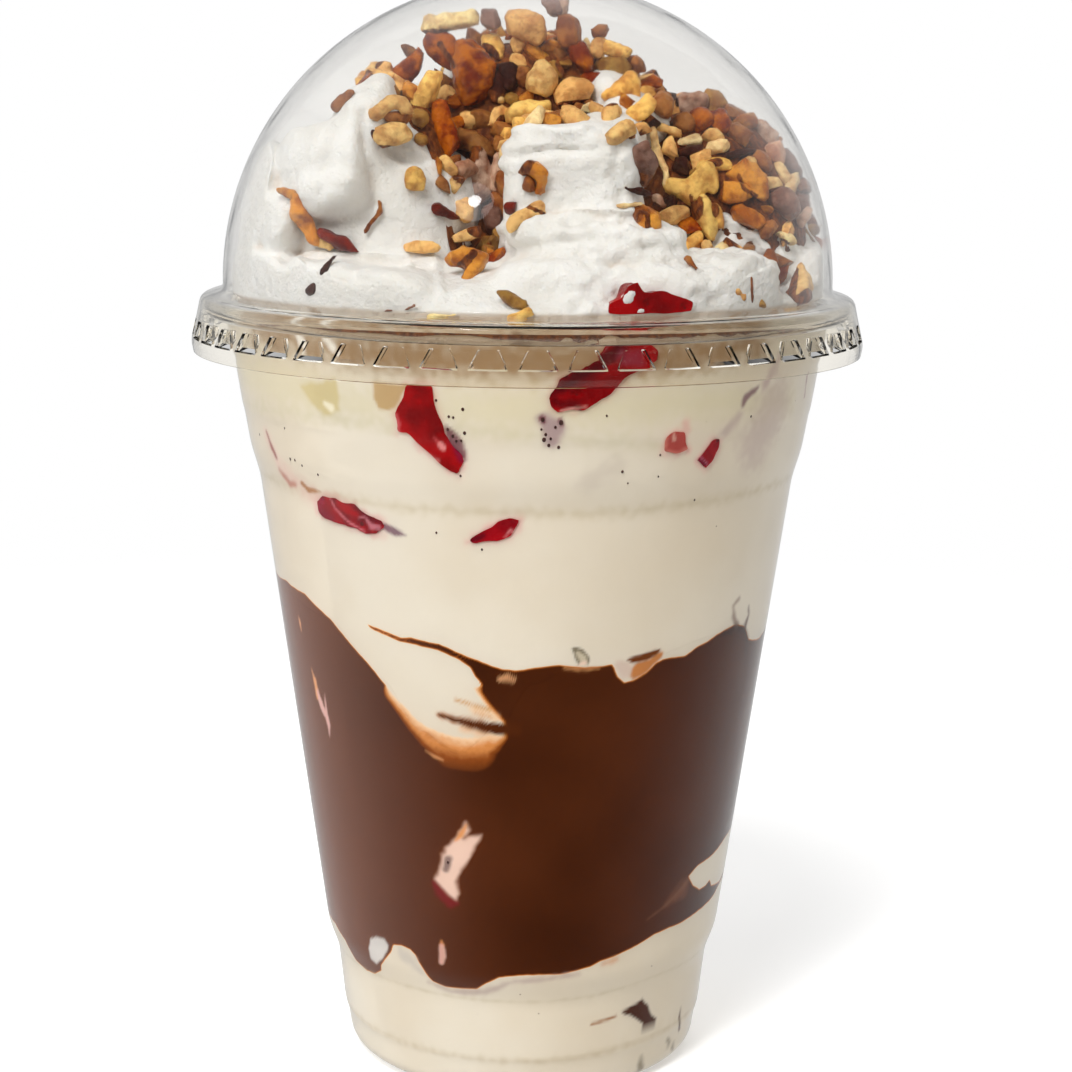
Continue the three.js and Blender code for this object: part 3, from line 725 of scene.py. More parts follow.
# %% Marks on the fruit
FRUIT_MARKS = [
    ((226, 150, 146), 0.9, 0.4, [(-15.5, 101.9, 0.4), (-15.1, 101.4, 0.45)]),
    ((206, 90, 90), 0.8, 0.4, [(-16.7, 102.9, 0.1), (-15.8, 102.1, 0.15)]),
    ((216, 128, 124), 0.75, 0.6, [
        (-23.5, 103.2, 0.15), (-21.9, 102.5, 0.25), (-20.4, 101.4, 0.15), (-18.8, 100.5, 0.2),
        (-16.2, 99.4, 0.2)]),
    ((124, 10, 52), 0.85, 0.9, [
        (-13.7, 104.1, 0.35), (-13.0, 102.6, 0.5), (-12.0, 100.9, 0.6), (-11.6, 99.7, 0.3)]),
    ((210, 100, 104), 0.7, 0.5, [(-23.7, 105.6, 0.2), (-23.4, 104.2, 0.3), (-23.5, 103.1, 0.15)]),
    ((140, 16, 48), 0.8, 1.0, [(-45.2, 91.7, 0.5), (-46.2, 90.1, 0.5), (-42.8, 89.4, 0.3)]),
    ((178, 0, 10), 0.8, 0.8, [(-40.2, 91.7, 0.5), (-37.7, 91.0, 0.7), (-35.6, 90.4, 0.4)]),
    ((100, 0, 22), 0.85, 0.5, [(-35.4, 91.9, 0.25), (-33.0, 90.3, 0.3), (-29.4, 89.6, 0.3)]),
    ((218, 124, 132), 0.85, 0.35, [
        (-42.3, 92.2, 0.1), (-41.4, 90.9, 0.15), (-38.1, 89.2, 0.15), (-33.9, 88.1, 0.1)]),
    ((206, 130, 140), 0.8, 0.5, [
        (-35.2, 90.0, 0.1), (-33.5, 90.3, 0.15), (-32.2, 89.0, 0.4), (-30.4, 88.9, 0.4)]),
    ((214, 140, 140), 0.85, 0.3, [(-3.7, 88.9, 0.1), (-2.7, 89.9, 0.15), (-2.0, 89.5, 0.15)]),
    ((96, 0, 20), 0.8, 0.5, [(-10.7, 88.1, 0.25), (-8.2, 88.9, 0.4)]),
    ((74, 0, 10), 0.85, 1.6, [
        (4.6, 109.4, 0.8), (8.0, 111.0, 1.0), (12.5, 113.4, 1.2), (16.0, 115.4, 1.0)]),
    ((90, 0, 6), 0.8, 1.2, [(4.8, 108.0, 0.6), (9.0, 107.6, 0.6)]),
    ((150, 60, 80), 0.7, 1.2, [(16.5, 114.4, 0.7), (19.6, 114.2, 0.7)]),
    ((216, 150, 140), 0.8, 0.4, [(6.2, 106.9, 0.15), (8.5, 107.2, 0.2), (10.6, 107.4, 0.15)]),
    ((216, 176, 158), 0.85, 0.5, [(28.0, 103.3, 0.1), (28.3, 102.3, 0.3)]),
    ((206, 132, 118), 0.7, 0.8, [
        (26.6, 102.4, 0.3), (26.4, 100.8, 0.3), (29.0, 100.2, 0.2), (31.4, 100.8, 0.2)]),
    ((110, 4, 40), 0.8, 0.8, [(34.2, 99.0, 0.5), (36.4, 98.4, 0.4)]),
    ((196, 110, 130), 0.8, 0.3, [(34.6, 99.6, 0.1), (36.8, 98.3, 0.1)]),
]
HALO = ((224, 160, 156), 0.8, 2.2)  # pink that bleeds from the fruit
print(len(FRUIT_MARKS), "marks lie on the fruit")

# %% [markdown]
# ## How a mark is laid
# Each vertex finds how deep it lies inside a mark, and that depth decides how much of the
# mark's colour it takes. Later marks cover earlier ones.

# %% Drawing helpers
MARK_REACH = 4.0  # how far outside its places a stroke can still show


def on_wall(shape):
    """Places on the wall as lengths: how far round it, and how high."""
    flat = np.array([place[:2] for place in shape], float)
    return np.stack([np.radians(flat[:, 0]) * wall_radius(flat[:, 1]), flat[:, 1]], 1)


def to_line(points, start, end):
    """Distance from each point to a line between two places, and how far along it."""
    along = end - start
    share = np.clip(((points - start) @ along) / (along @ along), 0, 1)
    return np.linalg.norm(points - start - share[:, None] * along, axis=1), share


def depth_inside(points, shape):
    """How deep each point lies inside a closed shape, negative outside."""
    corners = on_wall(shape)
    nearest = np.full(len(points), 1e9)
    inside = np.zeros(len(points), bool)
    for (x0, z0), (x1, z1) in zip(corners, np.roll(corners, -1, axis=0)):
        away, _ = to_line(points, np.array((x0, z0)), np.array((x1, z1)))
        nearest = np.minimum(nearest, away)
        crosses = (z0 > points[:, 1]) != (z1 > points[:, 1])
        at = x0 + (points[:, 1] - z0) * (x1 - x0) / (z1 - z0 if z1 != z0 else 1e-9)
        inside ^= crosses & (points[:, 0] < at)
    return np.where(inside, nearest, -nearest)


def depth_in_strokes(points, strokes):
    """How deep each point lies inside a set of brush strokes, negative outside."""
    deepest = np.full(len(points), -99.0)
    for stroke in strokes:
        corners = on_wall(stroke)
        halves = [place[2] for place in stroke]
        for i in range(len(corners) - 1):
            away, share = to_line(points, corners[i], corners[i + 1])
            half = halves[i] + (halves[i + 1] - halves[i]) * share
            deepest = np.maximum(deepest, half - away)
    return deepest


def wall_places(points):
    """How far round the wall and how high each point lies."""
    return np.stack([np.radians(turn_of(points)) * wall_radius(points[:, 2]), points[:, 2]], 1)


def painted(wall, marks, waver):
    """Lays marks over each other. Gives the colour times its cover, then the cover."""
    laid = np.zeros((len(wall), 4))
    for colour, strength, soft, shape in marks:
        reach = MARK_REACH + soft
        low, high = on_wall(shape).min(0) - reach, on_wall(shape).max(0) + reach
        near = np.all((wall > low) & (wall < high), axis=1)
        if not near.any():
            continue
        spots = wall[near]
        stroke = len(shape[0]) == 3
        depth = depth_in_strokes(spots, [shape]) if stroke else depth_inside(spots, shape)
        share = np.clip(0.5 + depth / soft + waver[near] * 0.3, 0, 1)
        share = (share * share * (3 - 2 * share) * strength)[:, None]
        laid[near] = laid[near] * (1 - share) + share * np.array(paint(*colour))
    return laid


def glazed(finish, under, name):
    """Lays a set of stored marks over a colour."""
    bare = finish.blend(finish.stored(name, "Alpha"), under, paint(0, 0, 0))
    return finish.blend(1.0, bare, finish.stored(name, "Color"), "ADD")


print("drawing helpers ready")

# %% [markdown]
# ## The strawberry pieces against the wall
# Each slice of fruit shows one flat, wet face where it presses on the cup. Its outline is
# drawn on the wall in the same way. The outline becomes a face, is extruded inwards to
# the depth of a slice, remeshed so that the edges round off, and roughened a little. The
# outermost points are then pressed against the wall.

# %% Strawberry shapes
BERRY_FACES = {  # how deep the slice goes, then the outline of its face
    "strawberry_left": (5.0, [
        (-21.4, 110.2), (-16.5, 110.2), (-16.1, 107.7), (-15.2, 105.6), (-14.6, 103.5),
        (-13.2, 101.9), (-11.5, 100.3), (-11.2, 99.5), (-12.4, 97.6), (-14.0, 98.1), (-16.2, 99.4),
        (-19.0, 100.9), (-20.4, 102.4), (-21.8, 103.2), (-23.7, 103.2), (-23.6, 104.4),
        (-24.2, 105.7), (-22.6, 107.7),
    ]),
    "strawberry_middle": (6.0, [
        (4.1, 108.8), (5.4, 110.1), (5.5, 111.4), (8.4, 112.5), (10.7, 113.5), (12.9, 115.0),
        (13.4, 116.0), (16.1, 116.0), (20.9, 116.0), (23.2, 114.8), (23.4, 113.5), (20.7, 112.5),
        (18.0, 111.5), (16.0, 110.0), (14.4, 108.7), (12.1, 107.7), (10.1, 106.9), (6.7, 106.9),
        (5.7, 106.6), (4.3, 107.4),
    ]),
    "strawberry_low_left": (4.0, [
        (-47.2, 90.8), (-46.9, 91.5), (-45.1, 92.4), (-41.0, 92.6), (-39.1, 92.1), (-36.0, 92.0),
        (-34.7, 91.1), (-32.9, 90.6), (-29.3, 90.0), (-28.9, 89.2), (-30.9, 87.8), (-33.3, 87.8),
        (-36.6, 88.4), (-40.8, 88.6), (-44.7, 89.0), (-47.0, 89.8),
    ]),
    "strawberry_low_middle": (3.0, [
        (-11.4, 87.9), (-8.3, 89.5), (-4.9, 91.0), (-2.3, 91.8), (-0.5, 91.6), (-0.8, 90.6),
        (-2.7, 89.1), (-5.7, 88.3), (-8.3, 88.2), (-9.9, 87.9),
    ]),
    "strawberry_right": (2.5, [
        (36.2, 100.8), (37.4, 101.9), (39.0, 101.8), (39.3, 100.6), (38.0, 98.9), (36.4, 97.7),
        (33.9, 99.0), (35.1, 99.8),
    ]),
    "strawberry_pale": (2.5, [
        (26.6, 102.6), (28.2, 103.4), (30.4, 103.3), (30.8, 101.9), (31.7, 100.7), (29.0, 100.1),
        (26.3, 100.6), (26.5, 101.8),
    ]),
}
TOP_BERRY = (6.0, [
    (14.0, 119.8), (14.4, 121.2), (16.2, 122.0), (17.6, 123.6), (19.6, 124.3), (20.6, 122.8),
    (22.6, 122.6), (25.0, 122.8), (27.6, 122.2), (30.9, 121.3), (30.2, 119.9), (26.0, 119.4),
    (20.0, 119.5),
])
BERRY_VOXEL = 0.3
FACE_AT = -1.0  # the face is drawn this far in front of the wall, then pressed against it
TAPER = 0.25  # how much smaller a slice is at its back


def dome_radius(height):
    """Radius of the dome's outer face at each height."""
    share = np.clip((np.asarray(height) - DOME_FOOT) / DOME_RISE, 0, 1)
    return DOME_RADIUS * np.sqrt(1 - share**2)


def lumpy(points, size, seed=0.0):
    """Smooth noise from -1 to 1 for each point, with lumps of this size."""
    shift = Vector((seed, seed * 1.7, seed * 0.3))
    return np.array([noise.noise(Vector(p) / size + shift) for p in points])


def slice_of_fruit(shape, deep, radius_at, cover, seed):
    """A slice whose outline is drawn on the wall. cover is the wall that stays in front."""
    bm = bmesh.new()
    corners = [bm.verts.new((turn, 0, height)) for turn, height in shape]
    face = bm.faces.new(corners)
    grown = bmesh.ops.extrude_face_region(bm, geom=[face])
    for vertex in grown["geom"]:
        if isinstance(vertex, bmesh.types.BMVert):
            vertex.co.y = deep
    middle = np.mean([v.co.x for v in corners]), np.mean([v.co.z for v in corners])
    for vertex in bm.verts:
        arc_length = math.radians(vertex.co.x - middle[0]) * float(radius_at(middle[1]))
        shrink = 1 - TAPER * vertex.co.y / deep
        vertex.co.x = arc_length * shrink
        vertex.co.z = middle[1] + (vertex.co.z - middle[1]) * shrink
        if vertex.co.y < deep / 2:
            vertex.co.y = FACE_AT
    bmesh.ops.recalc_face_normals(bm, faces=bm.faces[:])
    bmesh.ops.triangulate(bm, faces=bm.faces[:])
    bm = remeshed(bm, BERRY_VOXEL)
    soften(bm, 3)
    points = places(bm)
    points += np.array([v.normal for v in bm.verts]) * (0.35 * lumpy(points, 2.2, seed))[:, None]
    limit = radius_at(points[:, 2]) - cover
    away = np.minimum(limit - points[:, 1] - 0.1 - 0.08 * lumpy(points, 1.2, seed + 5), limit)
    angle = math.radians(middle[0]) + points[:, 0] / radius_at(middle[1])
    move_to(bm, np.stack([away * np.sin(angle), -away * np.cos(angle), points[:, 2]], 1))
    bmesh.ops.recalc_face_normals(bm, faces=bm.faces[:])
    return bm


print(len(BERRY_FACES) + 1, "slices of fruit are drawn")

# %% [markdown]
# ## Strawberry flesh
# Wet strawberry is deep red at the skin and brighter inside, with dark seeds in small
# pits. Scattered points give the seeds, and cloudy noise moves the red from dark to
# bright. Most of the gloss in front of it belongs to the plastic, so the fruit has little
# of its own.

# %% Strawberry
FACE_COVER = 0.12  # wall that stays in front of a slice, on the cup
TOP_COVER = LID_WALL + 1.1  # and under the dome


def fruit_finish(name, dark, bright):
    """Wet flesh between two reds, with seeds, streaks and the marks kept on the slice."""
    finish = Finish(
        name, IOR=1.42, Specular_IOR_Level=0.08, Subsurface_Weight=0.1, Subsurface_Scale=0.0015
    )
    finish.feed(finish.shader.inputs["Subsurface Radius"], (1.0, 0.15, 0.1))
    red = finish.blend(finish.step(finish.grain(5, 3), 0.35, 0.65), paint(*dark), paint(*bright))
    streaks = finish.step(finish.grain(1.3, 3, (1, 1, 0.45)), 0.64, 0.8, 0, 0.3)
    red = finish.blend(streaks, red, paint(196, 48, 52))
    pips = finish.cells(3.3)
    red = finish.blend(finish.step(pips, 0.09, 0.13, 0.7, 0.0), red, paint(70, 14, 16))
    finish.colour(glazed(finish, red, "fruit_marks"))
    finish.roughness(finish.step(finish.grain(1.2, 2), 0.3, 0.7, 0.2, 0.4))
    finish.relief(finish.step(pips, 0.08, 0.3) + finish.grain(1.0, 3) * 0.5, 0.2)
    return finish


strawberry = fruit_finish("strawberry", (124, 0, 3), (168, 0, 5))
dark_strawberry = fruit_finish("dark_strawberry", (120, 0, 14), (166, 2, 18))
pale_strawberry = fruit_finish("pale_strawberry", (176, 76, 68), (192, 100, 88))
FRUIT_FINISHES = {
    "strawberry_low_left": dark_strawberry,
    "strawberry_low_middle": dark_strawberry,
    "strawberry_right": dark_strawberry,
    "strawberry_pale": pale_strawberry,
}


def fruit_piece(fruit, name):
    """Makes a piece of a slice and keeps the marks that lie on it."""
    points = places(fruit)
    made = piece("cut_" + name, fruit, FRUIT_FINISHES.get(name, strawberry), "strawberry", name)
    laid = painted(wall_places(points), FRUIT_MARKS, lumpy(points, 0.8, 3.0))
    keep_colour(made.data, "fruit_marks", laid)


for number, (name, (deep, shape)) in enumerate(BERRY_FACES.items()):
    fruit_piece(slice_of_fruit(shape, deep, wall_radius, FACE_COVER, number * 3.1), name)
deep, shape = TOP_BERRY
fruit_piece(slice_of_fruit(shape, deep, dome_radius, TOP_COVER, 31.0), "strawberry_top")

# %% [markdown]
# ## Cream and chocolate
# One material serves all three layers, because the chocolate's tail lies on the cream and
# smears of cream lie on the chocolate. It starts as ivory cream with a faint unevenness
# and a few vanilla specks, takes the marks made in cream, lays the chocolate over it, and
# ends with the marks made in chocolate. Towards its edge the chocolate runs through
# orange-brown and peach, in a hair's breadth along most of the edge and over several
# millimetres at the bottom of the tongue of cream. Food that wets the wall has no gloss of
# its own: the plastic in front has it.

# %% Cream and chocolate finish
filling = Finish("cream_and_chocolate", Specular_IOR_Level=0.0)


def mottled(size, detail, first, second):
    """Wanders between two colours in soft clouds."""
    return filling.blend(filling.step(filling.grain(size, detail), 0.3, 0.7), first, second)


def dots(apart, low, high, where, cut):
    """Small dots about apart millimetres from each other, in clouds where millimetres wide."""
    near_a_point = filling.step(filling.cells(apart), low, high, 1, 0)
    return near_a_point * filling.step(filling.grain(where, 2), cut, cut + 0.06)


cream = mottled(26, 3, paint(226, 218, 203), paint(219, 208, 189))
cream = filling.blend(dots(3.6, 0.03, 0.045, 11, 0.52) * 0.6, cream, paint(110, 85, 70))
cream = glazed(filling, cream, "cream_marks")
dark = mottled(34, 2, paint(88, 42, 16), paint(64, 26, 4))
# painted light: the chocolate is painted lighter on its left, for the light and reflections that
# fall there
dark = filling.blend(filling.stored("lit_side"), dark, paint(132, 82, 58))
share = filling.stored("run_out") + (filling.grain(0.7, 2) - 0.5) * 0.12
shade = cream
tones = [  # where each colour sets in, and where it has covered the last one
    (0.0, 0.14, paint(238, 206, 168)),
    (0.08, 0.34, paint(212, 142, 78)),
    (0.28, 0.62, paint(146, 76, 26)),
    (0.5, 1.05, dark),
]
for low, high, tone in tones:
    shade = filling.blend(filling.step(share, low, high), shade, tone)
bubbles = dots(5.2, 0.022, 0.034, 14, 0.5) * filling.step(share, 0.8, 1.0)
shade = filling.blend(bubbles, shade, paint(176, 138, 108))
filling.colour(glazed(filling, shade, "chocolate_marks"))
filling.roughness(filling.step(filling.grain(4, 3), 0.3, 0.7, 0.35, 0.5))
filling.relief(filling.grain(6, 3), 0.15)
print("cream and chocolate finish has", len(filling.nodes), "nodes")

# %% [markdown]
# ## The three layers
# Each layer is a spun outline whose rows are moved up and down until its edges follow the
# chocolate's main line. The rows are close together on the wall, because that is where
# the drawing has to be sharp.

# %% Layers
WALL_IN_FRONT = 0.32  # how far the food lies inside the wall's outer face
LAYER_COLUMNS = 564
ROW = 0.33  # distance between rows on the wall
CAPS = (0.0, 0.35, 0.65, 0.85, 0.95)  # rings on a layer's top and bottom, as shares of its radius
BASE_TOP, SIDE_FROM = 9.6, 10.0  # the base follows the cup's foot up to here, then the rows start
LOW_LEVEL, HIGH_LEVEL = 22.0, 70.0  # where the layers meet before their edges are drawn
NEAR_TURN, NEAR_SHARE = 84.0, 0.7  # this far round from the front lies this share of the columns
LOW_EDGE = [  # turn, height
    (-180, 21), (-110, 22), (-54, 16.8), (-34, 23.7), (-20, 18.6), (0, 20.9), (45, 25.3), (74, 28),
    (120, 24), (180, 21),
]
HIGH_EDGE = [
    (-180, 72), (-120, 74), (-76, 76.4), (-47, 73.6), (-33, 66), (-24, 59), (-15, 56), (-6, 60),
    (2, 67), (10, 69.4), (22, 69.5), (47, 71.9), (67, 68.4), (120, 71), (180, 72),
]
LOW_MIDDLE, HIGH_MIDDLE = 22.0, 66.0
FILL_LEVEL = 116.2
CRISP, SPREAD = 0.4, 6.0  # millimetres over which the chocolate runs out, least and most
THIN_SOFT = 3.0
WAVE_FROM = (80, 100)  # the turns over which a gentle wave joins the edge at the sides and back
# painted light: how much lighter the chocolate is painted at each turn
LIT_TURNS = (-90, -64, -34, -12, 150, 180)  # the chocolate looks lighter on its left
LIT_SHARES = (0.6, 0.8, 0.26, 0, 0, 0.1)


def edge_height(knots, turn):
    """Height of an edge at each turn, eased from each knot to the next."""
    turns = np.array([k[0] for k in knots], float)
    heights = np.array([k[1] for k in knots], float)
    at = np.clip(np.searchsorted(turns, turn), 1, len(turns) - 1)
    share = (turn - turns[at - 1]) / (turns[at] - turns[at - 1])
    share = share * share * (3 - 2 * share)
    return heights[at - 1] + (heights[at] - heights[at - 1]) * share


def food_radius(height):
    """Radius of the food at each height."""
    return wall_radius(height) - WALL_IN_FRONT


def layer(name, slot, node, low, high, low_edge=None, high_edge=None, foot=()):
    """Spins a layer between two heights and moves its rows to its edges."""
    rows = np.linspace(low, high, max(2, round((high - low) / ROW)))
    outline = list(foot) or [(share * float(food_radius(low)), low) for share in CAPS]
    outline += [(float(food_radius(z)), z) for z in rows]
    outline += [(share * float(food_radius(high)), high) for share in reversed(CAPS)]
    bm = spun(outline, LAYER_COLUMNS)
    points = places(bm)
    turn = turn_of(points)
    turn = np.sign(turn) * np.interp(np.abs(turn), [0, 180 * NEAR_SHARE, 180], [0, NEAR_TURN, 180])
    radius = np.hypot(points[:, 0], points[:, 1])
    share = radius / food_radius(points[:, 2])
    eased = np.clip(share, 0, 1) ** 2
    bottom = low + 0 * turn
    top = high + 0 * turn
    if low_edge:
        bottom = LOW_MIDDLE + (edge_height(low_edge, turn) - LOW_MIDDLE) * eased
    if high_edge:
        middle = HIGH_MIDDLE if high_edge is HIGH_EDGE else LOW_MIDDLE
        top = middle + (edge_height(high_edge, turn) - middle) * eased
    level = (points[:, 2] - low) / (high - low)
    moved = np.where(level < 0, points[:, 2], bottom + (top - bottom) * level)
    radius = np.where(level < 0, radius, share * food_radius(moved))
    angle = np.radians(turn)
    points = np.stack([radius * np.sin(angle), -radius * np.cos(angle), moved], 1)
    move_to(bm, points)
    wall = np.stack([angle * wall_radius(moved), moved], 1)
    made = piece(name, bm, filling, slot, node, sharp=60)
    waver = lumpy(points, 1.1, 17.0)
    halos = [(*HALO, shape) for deep, shape in BERRY_FACES.values()]
    chocolate = np.minimum(depth_inside(wall, CHOCOLATE_EDGE), -depth_inside(wall, CREAM_NOTCH))
    thin = np.clip(0.5 + depth_in_strokes(wall, THIN_CHOCOLATE) / THIN_SOFT, 0, 1)
    wave = lumpy(np.stack([wall[:, 0], 0 * moved, moved], 1), 7, 3.0)
    wave *= np.interp(np.abs(turn), WAVE_FROM, [0, 1])
    run_out = (chocolate + 0.08 * waver + 1.2 * wave) / (CRISP + SPREAD * thin)
    keep(made.data, "run_out", np.clip(run_out, -1, 1.5))
    keep(made.data, "lit_side", np.interp(turn, LIT_TURNS, LIT_SHARES))
    keep_colour(made.data, "cream_marks", painted(wall, halos + CREAM_MARKS, waver))
    keep_colour(made.data, "chocolate_marks", painted(wall, CHOCOLATE_MARKS, waver))
    return made


base = [(r, z) for r, z in sideways(cup_side, WALL_IN_FRONT) if z < BASE_TOP]
base[0] = (0.0, base[0][1])
layer("cream_at_the_bottom", "cream", "cream_lower", SIDE_FROM, LOW_LEVEL, None, LOW_EDGE, base)
layer("chocolate_band", "chocolate", "chocolate", LOW_LEVEL, HIGH_LEVEL, LOW_EDGE, HIGH_EDGE)
layer("cream_at_the_top", "cream", "cream_upper", HIGH_LEVEL, FILL_LEVEL, HIGH_EDGE, None)

# %% [markdown]
# ## Seeds and specks
# Loose strawberry seeds and vanilla specks press against the wall as tiny dark dots. Each
# one is a small flattened bead half sunk in the cream.

# %% Seeds and specks
SEEDS = [  # turn, height, half width in millimetres
    (-15.9, 108.0, 0.18), (-11.1, 106.9, 0.24), (-13.7, 105.8, 0.18), (-12.9, 105.7, 0.18),
    (-10.9, 103.6, 0.24), (-11.6, 102.5, 0.16), (-12.0, 97.5, 0.16), (-53.1, 97.1, 0.21),
    (-51.4, 97.1, 0.18), (-49.2, 96.5, 0.16), (-44.6, 95.6, 0.18), (-8.4, 86.9, 0.16),
    (-17.6, 89.0, 0.16), (-53.3, 101.6, 0.14), (-66.6, 99.4, 0.2), (-14.0, 104.0, 0.2),
    (-13.1, 103.1, 0.22), (-12.5, 102.4, 0.18), (3.1, 105.7, 0.34), (6.4, 105.3, 0.4),
    (3.4, 102.9, 0.34), (4.3, 102.1, 0.26), (6.1, 101.8, 0.24), (14.6, 106.1, 0.15),
    (18.4, 98.1, 0.2), (19.7, 96.4, 0.12), (25.9, 97.1, 0.12), (25.8, 100.2, 0.15),
    (46.8, 104.5, 0.17), (35.4, 93.1, 0.15), (3.7, 103.6, 0.22), (5.4, 104.6, 0.2),
    (4.6, 103.0, 0.18), (2.9, 104.3, 0.16), (-18.8, 38.8, 0.2), (112, 102, 0.2), (120, 99, 0.2),
    (-124, 101, 0.2), (-132, 97, 0.2), (170, 93, 0.2), (178, 95, 0.16),
]
SEED_BULGE = 0.16  # how far a seed stands out of the cream
SEED_LENGTH = 1.25  # times its width

seeds = bmesh.new()
for turn, height, half in SEEDS:
    angle = math.radians(turn)
    out = food_radius(height) - half + SEED_BULGE
    at = Matrix.Translation((out * math.sin(angle), -out * math.cos(angle), height))
    at = at @ Matrix.Rotation(angle, 4, "Z")
    shape = Matrix.Diagonal((half, half, half * SEED_LENGTH, 1))
    bmesh.ops.create_icosphere(seeds, subdivisions=2, radius=1, matrix=at @ shape)
seed_finish = Finish("seeds", IOR=1.45)
browns = paint(34, 18, 18), paint(82, 44, 38)
seed_finish.colour(seed_finish.blend(seed_finish.grain(0.4, 2), *browns))
seed_finish.roughness(seed_finish.step(seed_finish.grain(0.3, 2), 0.3, 0.7, 0.4, 0.6))
piece("loose_seeds", seeds, seed_finish, "strawberry")

# %% [markdown]
# ## Whipped cream
# Piped cream has soft lobes that sink into each other, a few sharp folds, and a crumbly
# surface where it was torn. Sculpting by hand would be the usual way. Here overlapping
# lobes are fused into one skin by a voxel remesh, smoothed so that they melt together,
# and pushed about by noise. Front lobes are placed by where they show in the picture and
# by how deep they lie in the dome, and the others fill the sides and back.

# %% Lobes and folds of whipped cream
BANK = {"middle": 125.5, "fall": 5.5, "reach": 45.0}
PUFFS = [  # x, y, top, half width, half depth, squareness
    (-22, -12, 146.5, 13.5, 12.5, 2.6),
    (6.5, -17, 142.5, 10.5, 9.0, 4.0),
    (3, 4, 152, 25, 17, 2.4),
    (25, 0, 142, 19, 18, 2.4),
    (-12, 22, 145, 19, 17, 2.4),
    (17, 24, 141, 17, 15, 2.4),
]
MOUND_FOOT = 118.0
# Folds and ridges that show: height in millimetres, then (across, down, half width) in pixels
FOLDS = [
    (-0.6, (364, 112, 3), (368, 150, 5), (371, 178, 5), (376, 204, 6)),
    (0.7, (354, 112, 6), (352, 140, 7), (349, 180, 8)),
    (-0.5, (338, 128, 5), (328, 160, 6), (320, 192, 6)),
    (0.4, (318, 140, 6), (304, 170, 7), (300, 196, 6)),
    (-0.9, (392, 150, 4), (404, 158, 5), (428, 160, 4)),
    (0.9, (252, 279, 4), (270, 279, 4), (288, 273, 4), (298, 263, 4), (314, 257, 4), (340, 256, 4),
        (405, 256, 4)),
    (-0.7, (325, 275, 3), (345, 278, 3), (366, 279, 3)),
    (-0.4, (300, 221, 5), (326, 228, 5), (350, 228, 5), (370, 220, 5)),
    (0.7, (409, 264, 4), (434, 262, 4), (440, 280, 4), (441, 306, 4)),
    (-0.9, (509, 156, 4), (530, 153, 4), (556, 149, 4), (592, 150, 4)),
    (1.0, (505, 166, 4), (506, 132, 5), (530, 129, 4), (556, 134, 4), (582, 131, 4)),
    (1.0, (468, 244, 5), (490, 233, 5), (520, 225, 5), (553, 218, 5), (590, 214, 5), (626, 212, 5),
        (656, 221, 5), (686, 235, 5)),
    (-0.8, (500, 253, 6), (553, 243, 7), (610, 238, 7), (650, 250, 6)),
    (0.9, (700, 224, 4), (722, 218, 4), (746, 233, 4), (768, 250, 5)),
    (-1.2, (773, 244, 4), (769, 262, 5), (757, 272, 6)),
    (-0.6, (616, 150, 4), (612, 175, 4), (622, 198, 4)),
]
# Front lobes: place in the picture, depth y, half width and half height in pixels, half
# depth in millimetres, tilt in degrees, squareness
FRONT_LOBES = [
    (379, 104, -12, 19, 30, 7, 12, 2),
    (368, 132, -14, 36, 46, 9, 16, 2.2),
    (340, 158, -16, 48, 38, 10, -16, 2.4),
    (312, 166, -13, 30, 36, 10, 0, 3.4),
    (334, 190, -18, 46, 33, 10, -16, 2.3),
    (418, 205, -11, 62, 62, 10, 22, 2.2),
    (378, 184, -13.5, 30, 46, 9, 12, 2.4),
    (264, 205, -7, 26, 62, 15, 6, 2.6),
    (268, 280, -14, 52, 32, 16, 0, 3),
    (284, 220, -18, 24, 34, 8, 0, 2.4),
    (322, 296, -27, 66, 34, 11, -3, 3),
    (398, 300, -32, 46, 34, 10, 6, 3.4),
    (462, 306, -33, 56, 26, 9, -4, 2.6),
    (556, 300, -32, 66, 44, 9, 0, 3.4),
    (573, 186, -20, 67, 60, 10, 1, 7),
    (596, 244, -27, 90, 26, 9, 3, 2.8),
    (650, 292, -30, 64, 34, 9, 0, 3),
    (722, 290, -25, 58, 38, 11, 0, 3),
    (627, 301, -42, 7, 6, 2, 0, 2),
    (645, 311, -42, 6, 4, 2, 20, 2),
    (636, 318, -42, 4, 3, 2, 0, 2),
    (634, 293, -42, 5, 4, 2, 0, 2),
    (768, 290, -8, 36, 26, 9, 0, 2.6),
    (806, 272, -3, 30, 30, 11, 0, 2.6),
    (600, 140, -12, 44, 26, 9, -5, 2.6),
    (630, 120, -4, 40, 30, 9, 20, 2.4),
    (606, 92, 0, 30, 26, 9, 0, 2),
]
SIDE_LOBES = [  # x, y, z and half sizes for the parts that the picture doesn't show
    (-36, 4, 127, 9, 12, 9), (-30, 20, 128, 11, 11, 10), (-8, 34, 129, 13, 10, 11),
    (14, 34, 127, 12, 10, 9), (32, 20, 127, 10, 13, 9), (38, 2, 126, 6, 12, 8),
    (-20, 12, 143, 10, 9, 8), (6, 20, 146, 12, 9, 8), (20, 12, 141, 10, 10, 7),
    (-2, 8, 151, 12, 9, 7), (-14, 30, 137, 13, 7, 6), (8, 34, 136, 11, 6, 5),
    (-28, 16, 138, 8, 9, 5), (24, 26, 135, 9, 8, 5),
]
print(len(FRONT_LOBES), "front lobes,", len(SIDE_LOBES), "others and", len(FOLDS), "folds")

# %% [markdown]
# ## From lobes to cream
# A plain mound with the CAD model's heights fills the inside, so that no gap shows between
# the lobes. After the remesh, each vertex finds out how hollow its place is by comparing
# it with a much smoother copy. Hollows are later painted darker and warmer: painted shade.

